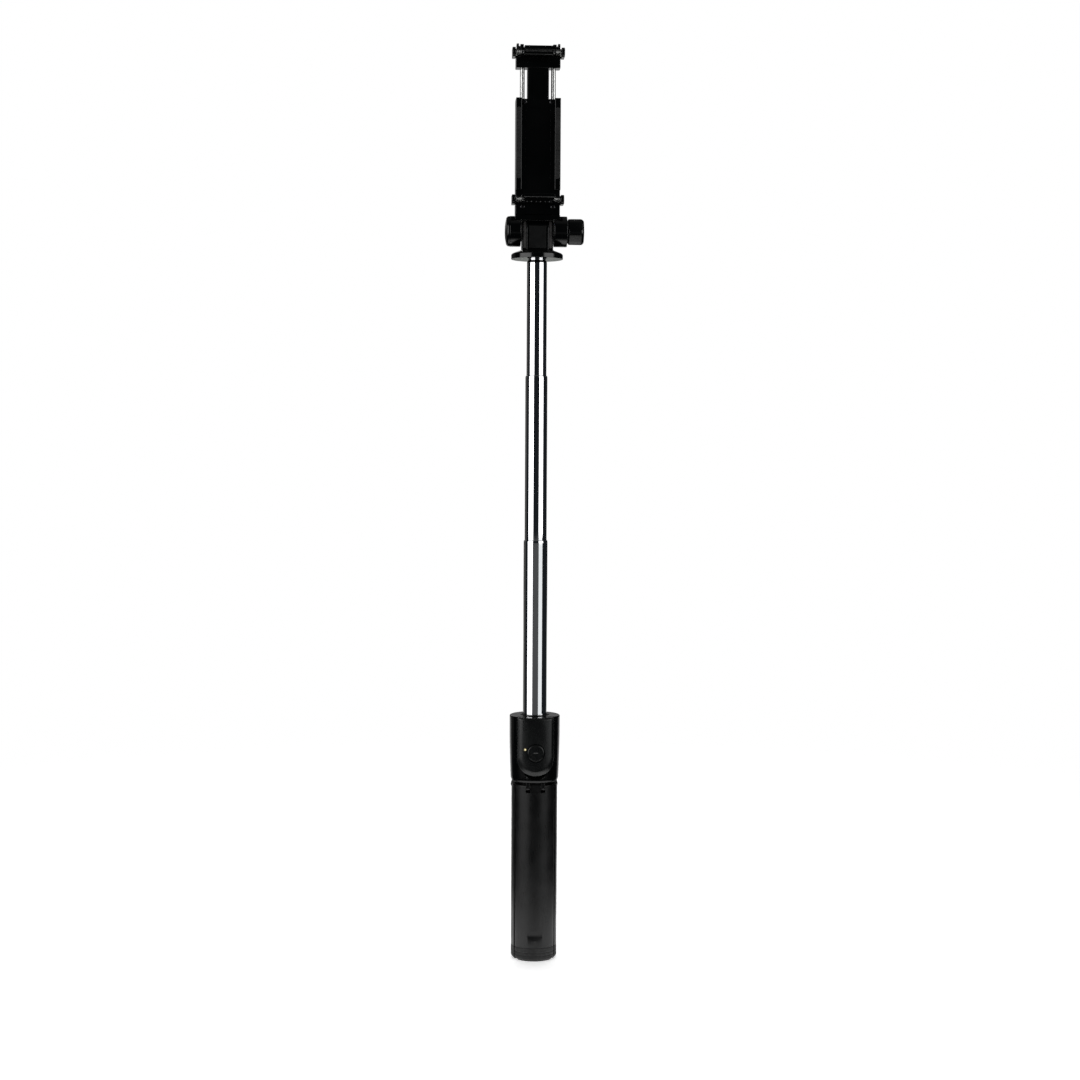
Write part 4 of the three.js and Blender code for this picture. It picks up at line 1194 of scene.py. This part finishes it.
def make_jaw(name, pin, flip):
    """A folding jaw: a tapered blade with a lip, its knuckle, and three flutes on the outside."""
    blade = [
        (0.3 * MM, -2.0 * MM, 0.5 * MM),
        (-JAW_REACH + 0.7 * MM, -0.75 * MM, 0.5 * MM),
        (-JAW_REACH, -0.2 * MM, 0.4 * MM),
        (-JAW_REACH, 1.4 * MM, 0.5 * MM),
        (-JAW_REACH + 1.1 * MM, 1.4 * MM, 0.5 * MM),
        (-JAW_REACH + 1.8 * MM, -0.25 * MM, 0.5 * MM),
        (-1 * MM, -0.25 * MM, 0.4 * MM),
        (0.2 * MM, 1.2 * MM, 0.4 * MM),
    ]
    outline = [(y + pin.y, z + pin.z) for y, z in filleted(flipped(blade, flip), 0.4 * MM, 5)]
    jaw = bevel(prism(f"{name}_jaw_blade", outline, "X", -JAW_HALF, JAW_HALF), 0.3 * MM, 3)
    knuckle = rod("knuckle", 2 * MM, -JAW_HALF, JAW_HALF, "X", pin, 0.25 * MM, FINE)
    join(jaw, knuckle)
    way = -1 if flip else 1
    grooves = []
    for x in (-4.6, 0, 4.6):
        front, back = pin.y - JAW_REACH + 2.2 * MM, pin.y - 2.6 * MM
        flute = filleted(rectangle(((x - 1.5) * MM, front), ((x + 1.5) * MM, back)), 0.9 * MM, 5)
        span = sorted((pin.z - way * 3 * MM, pin.z - way * 1.2 * MM))
        grooves.append(prism(f"flute{x}", flute, "Z", *span))
    cut(jaw, *grooves, rod("bore", 0.98 * MM, -9 * MM, 9 * MM, "X", pin))
    bevel(jaw, 0.1 * MM, 2, 50)
    part(jaw, f"{name}_jaw", "satin_black", f"{name}_jaw")


def make_jaw_pad(name, pin, flip):
    """The jaw's rubber pad, with four rounded ribs across it."""
    base = rectangle((-11.2 * MM, -0.2 * MM), (-2.4 * MM, 0.1 * MM))
    outline = [(y + pin.y, z + pin.z) for y, z in filleted(flipped(base, flip), 0.1 * MM, 3)]
    pad = prism(f"{name}_jaw_pad_finished", outline, "X", -7 * MM, 7 * MM)
    ribs = []
    for i in range(4):
        front = (-10.9 + 2.2 * i) * MM
        section = rectangle((front, -0.1 * MM), (front + 1.2 * MM, 0.4 * MM))
        rib = filleted(flipped(section, flip), 0.22 * MM, 4)
        ribs.append(prism(f"rib{i}", [(y + pin.y, z + pin.z) for y, z in rib], "X", -6.9 * MM, 6.9 * MM))
    join(pad, *ribs)
    part(pad, f"{name}_jaw", "rubber_black", f"{name}_jaw_pad")


# ---------- legs ----------

LEG_SPREAD = 58.4
LEG_BORE = 7.8 * MM
GRIP_RADIUS = 12 * MM
LEG_WALL = 1.5 * MM
LEG_TOP = 88.6 * MM
FOOT_TOP = 7 * MM
LEG_PIN_OUT = 9.7 * MM
LEG_PIN_UP = pivot("leg_1_fold").z
LEG_PIN_BORE = 0.8 * MM


def leg_angle(number):
    return math.radians(360 * (number - 1) / 3 - 90)


def sector(inner, outer, spread=LEG_SPREAD, corner=0.5 * MM):
    """A leg's share of the grip from above, as (x, y), for the leg that points along +X."""
    outside = arc((0, 0), outer, -spread, spread, 40)
    inside = arc((0, 0), inner, spread, -spread, 24)
    corners = (0, 40, 41, 65)
    corner = min(corner, 0.3 * (outer - inner))
    points = [(x, y, corner if i in corners else 0.0) for i, (x, y) in enumerate(outside + inside)]
    made = []
    for i, (x, y, radius) in enumerate(points):
        if radius:
            before, after = points[i - 1], points[(i + 1) % len(points)]
            toward = [Vector((p[0] - x, p[1] - y)).normalized() * radius for p in (before, after)]
            made += [(x + toward[0].x, y + toward[0].y), (x + 0.25 * (toward[0].x + toward[1].x),
                      y + 0.25 * (toward[0].y + toward[1].y)), (x + toward[1].x, y + toward[1].y)]
        elif min(abs(i - c) for c in corners) > 1:
            made.append((x, y))
    return made


def sector_loft(name, levels, inner=LEG_BORE):
    """A leg-shaped loft through (height, inset) levels."""
    rings = []
    for z, inset in levels:
        spread = LEG_SPREAD - math.degrees(inset / GRIP_RADIUS)
        outline = sector(inner + inset, GRIP_RADIUS - inset, spread)
        rings.append([(x, y, z) for x, y in outline])
    return loft(name, rings)


def rounded_levels(low, high, radius):
    """Heights and insets that round a loft's two ends."""
    turns = [math.pi / 2 * k / 4 for k in range(5)]
    bottom = [(low + radius * (1 - math.sin(t)), radius * (1 - math.cos(t))) for t in reversed(turns)]
    top = [(high - radius * (1 - math.sin(t)), radius * (1 - math.cos(t))) for t in turns]
    return bottom + top


def make_leg_at_zero():
    pin_out, pin_up = LEG_PIN_OUT, LEG_PIN_UP
    leg = sector_loft("leg", rounded_levels(FOOT_TOP + 0.02 * MM, LEG_TOP, 0.3 * MM))
    bay = (LEG_TOP - FOOT_TOP - 6 * MM) / 3
    bays = []
    for i in range(3):
        low = FOOT_TOP + 4 * MM + i * bay
        outline = sector(LEG_BORE - 1 * MM, GRIP_RADIUS - LEG_WALL, LEG_SPREAD - 11, 0.4 * MM)
        bays.append(prism(f"bay{i}", outline, "Z", low, low + bay - LEG_WALL))
    cut(leg, *bays)
    skirt_levels = rounded_levels(LEG_TOP - 1 * MM, 92.3 * MM, 0.3 * MM)
    skirt = sector_loft("skirt", skirt_levels, GRIP_RADIUS - LEG_WALL)
    notch = block("notch", (5 * MM, -5 * MM, LEG_TOP), (14 * MM, 5 * MM, 95 * MM))
    join(leg, cut(skirt, notch))
    eye = rod("eye", 1.9 * MM, -2.9 * MM, 2.9 * MM, "Y", (pin_out, 0, pin_up), 0.2 * MM, FINE)
    web = block("web", (pin_out - 1.9 * MM, -2.9 * MM, LEG_TOP - 2 * MM),
                (pin_out + 1.9 * MM, 2.9 * MM, pin_up))
    finger_place = (GRIP_RADIUS + 5.1 * MM, 0, 14 * MM)
    finger = rod("finger", 6 * MM, -4.5 * MM, 4.5 * MM, "Y", finger_place, 0.8 * MM, FINE)
    join(leg, eye, web)
    cut(leg, rod("bore", LEG_PIN_BORE, -6 * MM, 6 * MM, "Y", (pin_out, 0, pin_up)), finger)
    return bevel(leg, 0.1 * MM, 2, 50)


def make_foot_at_zero():
    """A leg's rubber foot: a chamfered sole and two grooves round it."""
    levels = [(0, 1.2 * MM), (0.25 * MM, 1.0 * MM), (1.3 * MM, 0.12 * MM), (1.6 * MM, 0.0)]
    for middle in (3.0 * MM, 4.6 * MM):
        levels += [(middle - 0.3 * MM, 0.0), (middle - 0.15 * MM, 0.2 * MM), (middle + 0.15 * MM, 0.2 * MM),
                   (middle + 0.3 * MM, 0.0)]
    levels += [(FOOT_TOP - 0.35 * MM, 0.0), (FOOT_TOP - 0.05 * MM, 0.2 * MM)]
    return sector_loft("foot", levels)


def make_legs():
    leg = make_leg_at_zero()
    foot = make_foot_at_zero()
    pin = rod("pin", 0.75 * MM, -4.7 * MM, 4.7 * MM, "Y", (LEG_PIN_OUT, 0, LEG_PIN_UP), 0.15 * MM)
    for number in (1, 2, 3):
        angle = leg_angle(number)
        body = f"leg_{number}"
        shell = turned_copy(leg, f"leg_{number}_shell", angle)
        part(shell, body, "grip_black", f"leg_{number}")
        sole = turned_copy(foot, f"leg_foot_{number}_rubber", angle)
        part(sole, body, "rubber_black", f"leg_foot_{number}")
        hinge_pin = turned_copy(pin, f"leg_pin_{number}_finished", angle)
        part(hinge_pin, "handle", "plated_steel", f"leg_pin_{number}")
    for made in (leg, foot, pin):
        bpy.data.objects.remove(made)


def make_hub():
    """The sleeve that guides the pole, its plate, and the lugs that carry the legs."""
    hub = Extent("leg_hub")
    sleeve, bore = RING.high.x, 6.75 * MM
    profile = [
        (bore, hub.low.z),
        (sleeve, hub.low.z, 0.3 * MM),
        (sleeve, 94.15 * MM),
        (10.85 * MM, 94.15 * MM, 0.2 * MM),
        (10.85 * MM, 95.4 * MM, 0.2 * MM),
        (sleeve, 95.4 * MM),
        (sleeve, hub.high.z),
        (bore, hub.high.z),
    ]
    made = lathe("leg_hub_finished", filleted(profile, 0.1 * MM, 3), closed=True)
    pin_up, out = LEG_PIN_UP, LEG_PIN_OUT
    lugs = []
    for number in (1, 2, 3):
        for side in (-1, 1):
            span = sorted((side * 3.05 * MM, side * 4.8 * MM))
            outline = [*arc((out, pin_up), 1.88 * MM, 0, -180, 20), (sleeve - 0.3 * MM, 93.8 * MM),
                       (out + 1.2 * MM, 93.8 * MM)]
            lug = bevel(prism("lug", outline, "Y", *span), 0.2 * MM, 2)
            cut(lug, rod("bore", LEG_PIN_BORE, -6 * MM, 6 * MM, "Y", (out, 0, pin_up)))
            lug.data.transform(Matrix.Rotation(leg_angle(number), 4, "Z"))
            lugs.append(lug)
    neck = tube_ring("neck", bore + 0.3 * MM, 10.7 * MM, 93.2 * MM, 94.3 * MM, edge=0.1 * MM)
    join(made, neck, *lugs)
    part(made, "handle", "grip_black", "leg_hub")


# ---------- stage, lights and camera ----------

VIEW_TURN = -3.3  # degrees the studio and its camera stand round from the stick's front
CAMERA_AWAY = 0.972
CAMERA_UP = 0.2686
CAMERA_ACROSS = 0.0023
CAMERA_PITCH = -2.9
CAMERA_ROLL = 0.3
LENS = 62.3
WINDOW_AWAY = 1.3
SILL = 0.155  # height where the windows end and the dimmer walls begin
FLOOR_EDGE = -0.14
STICK_MIDDLE = Vector((0, 0, 0.24))


def make_camera():
    data = bpy.data.cameras.new("camera")
    data.lens = LENS
    data.sensor_width = 36
    data.clip_start = 0.01
    camera = bpy.data.objects.new("camera", data)
    place = Matrix.Translation((CAMERA_ACROSS, -CAMERA_AWAY, CAMERA_UP))
    tilt = Matrix.Rotation(math.radians(90 + CAMERA_PITCH), 4, "X")
    roll = Matrix.Rotation(math.radians(CAMERA_ROLL), 4, "Z")
    camera.matrix_world = Matrix.Rotation(math.radians(VIEW_TURN), 4, "Z") @ place @ tilt @ roll
    bpy.context.scene.collection.objects.link(camera)
    bpy.context.scene.camera = camera


def softbox(name, place, aim, size, radiance, colour, glossy=True):
    data = bpy.data.lights.new(name, "AREA")
    data.shape = "RECTANGLE"
    data.size, data.size_y = size
    data.energy = radiance * 4 * size[0] * size[1]
    data.color = colour
    light = bpy.data.objects.new(name, data)
    light.location = place
    light.rotation_mode = "QUATERNION"
    light.rotation_quaternion = (place - aim).to_track_quat("Z", "Y")
    light.visible_camera = False
    light.visible_glossy = glossy
    bpy.context.scene.collection.objects.link(light)


def direction(azimuth, elevation=0):
    """A way out from the stick. Azimuth 0 is the camera's side, 90 is the knob's."""
    a, e = math.radians(azimuth + VIEW_TURN), math.radians(elevation)
    return Vector((math.sin(a) * math.cos(e), -math.cos(a) * math.cos(e), math.sin(e)))


def window(name, start, end, low, high, radiance, colour=(1, 1, 1)):
    """An upright light that spans two azimuths and two heights as seen from the stick."""
    width = 2 * WINDOW_AWAY * math.tan(math.radians(end - start) / 2)
    aim = Vector((0, 0, (low + high) / 2))
    place = aim + direction((start + end) / 2) * WINDOW_AWAY
    softbox(name, place, aim, (width, high - low), radiance, colour)


def make_lights():
    window("left window", -80, -26.5, SILL, 1.2, 1.9)
    window("left wall", -80, -26.5, FLOOR_EDGE, SILL, 1.3)
    window("right window", 32.5, 78.5, SILL, 1.2, 1.8)
    window("right wall", 31.5, 70, FLOOR_EDGE, SILL, 0.75, (0.97, 1.0, 1.0))
    window("front wall", -26, 31, FLOOR_EDGE, SILL, 0.05)
    window("left corner", -165, -112, FLOOR_EDGE, 1.2, 0.045, (1.0, 0.95, 0.88))
    overhead = STICK_MIDDLE + direction(180, 58) * 1.5
    softbox("overhead", overhead, STICK_MIDDLE, (1.5, 1.2), 3.2, (1, 1, 1), glossy=False)


def make_world():
    """White to the camera. To everything else a dim studio: dark but for a backdrop that is pale low
    down and again higher up, with a brighter screen on its left, and grey overhead and underfoot."""
    world = bpy.data.worlds.new("studio")
    world.use_nodes = True
    world.node_tree.nodes.clear()
    n = Nodes(world.node_tree)
    turned = n.add("ShaderNodeMapping", vector_type="POINT")
    turned.inputs["Rotation"].default_value[2] = math.radians(-VIEW_TURN)
    n.link(n.add("ShaderNodeTexCoord").outputs["Generated"], turned.inputs["Vector"])
    split = n.add("ShaderNodeSeparateXYZ")
    n.link(turned.outputs["Vector"], split.inputs["Vector"])
    across, back, up = split.outputs["X"], split.outputs["Y"], split.outputs["Z"]
    dark = (0.010, 0.012, 0.014)
    room = n.mix(n.between(up, -0.96, -0.84, 1.0, 0.0), dark, (0.5, 0.5, 0.48))
    room = n.mix(n.between(up, 0.75, 0.95, 0.0, 1.0), room, (0.10, 0.10, 0.10))
    pale = n.mix(n.between(up, -0.11, -0.07, 1.0, 0.0), dark, (0.50, 0.52, 0.49))
    pale = n.mix(n.between(up, 0.10, 0.14, 0.0, 1.0), pale, (0.30, 0.30, 0.30))
    screen = n.mix(n.between(across, -0.05, 0.03, 0.0, 1.0), (1.0, 1.0, 0.98), (0.22, 0.22, 0.22))
    pale = n.mix(n.between(up, 0.24, 0.28, 0.0, 1.0), pale, screen)
    pale = n.mix(n.between(up, 0.48, 0.56, 0.0, 1.0), pale, dark)
    studio = n.mix(n.between(back, 0.80, 0.95, 0.0, 1.0), room, pale)
    under = n.maths("MULTIPLY", n.between(up, -0.147, -0.140, 1.0, 0.0), n.between(up, -0.5, -0.3, 0.0, 1.0))
    under = n.maths("MULTIPLY", under, n.between(back, 0.68, 0.82, 0.0, 1.0))
    studio = n.mix(under, studio, (0.6, 0.6, 0.6))
    dim = n.add("ShaderNodeBackground")
    n.link(studio, dim.inputs["Color"])
    white = n.add("ShaderNodeBackground")
    white.inputs["Color"].default_value = (1, 1, 1, 1)
    choice = n.add("ShaderNodeMixShader")
    n.link(n.add("ShaderNodeLightPath").outputs["Is Camera Ray"], choice.inputs["Fac"])
    n.link(dim.outputs["Background"], choice.inputs[1])
    n.link(white.outputs["Background"], choice.inputs[2])
    n.link(choice.outputs["Shader"], n.add("ShaderNodeOutputWorld").inputs["Surface"])
    bpy.context.scene.world = world


def make_floor():
    """A pale round floor under the stick that fades out into the white."""
    floor = rod("floor", 0.9, -0.002, 0, "Z", sides=96)
    s = Surface("pale floor", (0.9, 0.9, 0.9), 0.6)
    spread = s.add("ShaderNodeVectorMath", operation="LENGTH")
    s.link(s.place, spread.inputs[0])
    reach = spread.outputs["Value"]
    seen = s.add("ShaderNodeLightPath").outputs["Is Camera Ray"]
    wide = s.maths("MULTIPLY", seen, s.between(reach, 0.12, 0.75, 1.0, 0.0))
    near = s.maths("MULTIPLY", s.maths("SUBTRACT", 1.0, seen), s.between(reach, 0.08, 0.16, 1.0, 0.0))
    fade = s.maths("SUBTRACT", 1.0, s.maths("ADD", wide, near))
    s.link(s.tint(s.noise(900, 3), 0.985, 1.0), s.shader.inputs["Base Color"])
    s.shader.inputs["Specular IOR Level"].default_value = 0.2
    s.shader.inputs["Emission Color"].default_value = (1, 1, 1, 1)
    s.shader.inputs["Emission Strength"].default_value = 0.5
    geometry = s.add("ShaderNodeNewGeometry")
    facing = s.add("ShaderNodeSeparateXYZ")
    s.link(geometry.outputs["Normal"], facing.inputs["Vector"])
    aside = s.maths("LESS_THAN", facing.outputs["Z"], 0.5)
    hidden = s.maths("MAXIMUM", geometry.outputs["Backfacing"], aside)
    blend = s.add("ShaderNodeMixShader")
    s.link(s.maths("MAXIMUM", fade, hidden), blend.inputs["Fac"])
    s.link(s.shader.outputs["BSDF"], blend.inputs[1])
    s.link(s.add("ShaderNodeBsdfTransparent").outputs["BSDF"], blend.inputs[2])
    s.link(blend.outputs["Shader"], s.tree.nodes["Material Output"].inputs["Surface"])
    floor.data.materials.append(s.material)


def make_stage():
    make_floor()
    make_world()
    make_lights()
    make_camera()
    bpy.context.scene.view_settings.view_transform = "Standard"


# ---------- assembly ----------

make_stage()
paint_cad_nodes()
make_housing()
make_guide_ring()
make_remote_front()
make_remote_rear()
make_button()
make_light()
for section in (1, 2, 3, 4):
    make_pole_section(section)
make_head()
make_hinge_cap()
make_hinge_bolt()
make_knob()
make_clamp_frame()
make_front_cover()
for screw_number in (1, 2, 3, 4):
    make_screw(screw_number)
make_rail_pads()
make_slider()
make_guide_rods()
for jaw_name, jaw_body, jaw_pin, jaw_flip in (
    ("lower", "clamp", LOWER, False),
    ("upper", "slider", UPPER, True),
):
    make_pin(jaw_name, jaw_body, jaw_pin.z)
    for jaw_side in (-1, 1):
        make_jaw_spring(jaw_name, jaw_body, jaw_pin.z, jaw_side, jaw_flip)
    make_jaw(jaw_name, jaw_pin, jaw_flip)
    make_jaw_pad(jaw_name, jaw_pin, jaw_flip)
make_legs()
make_hub()
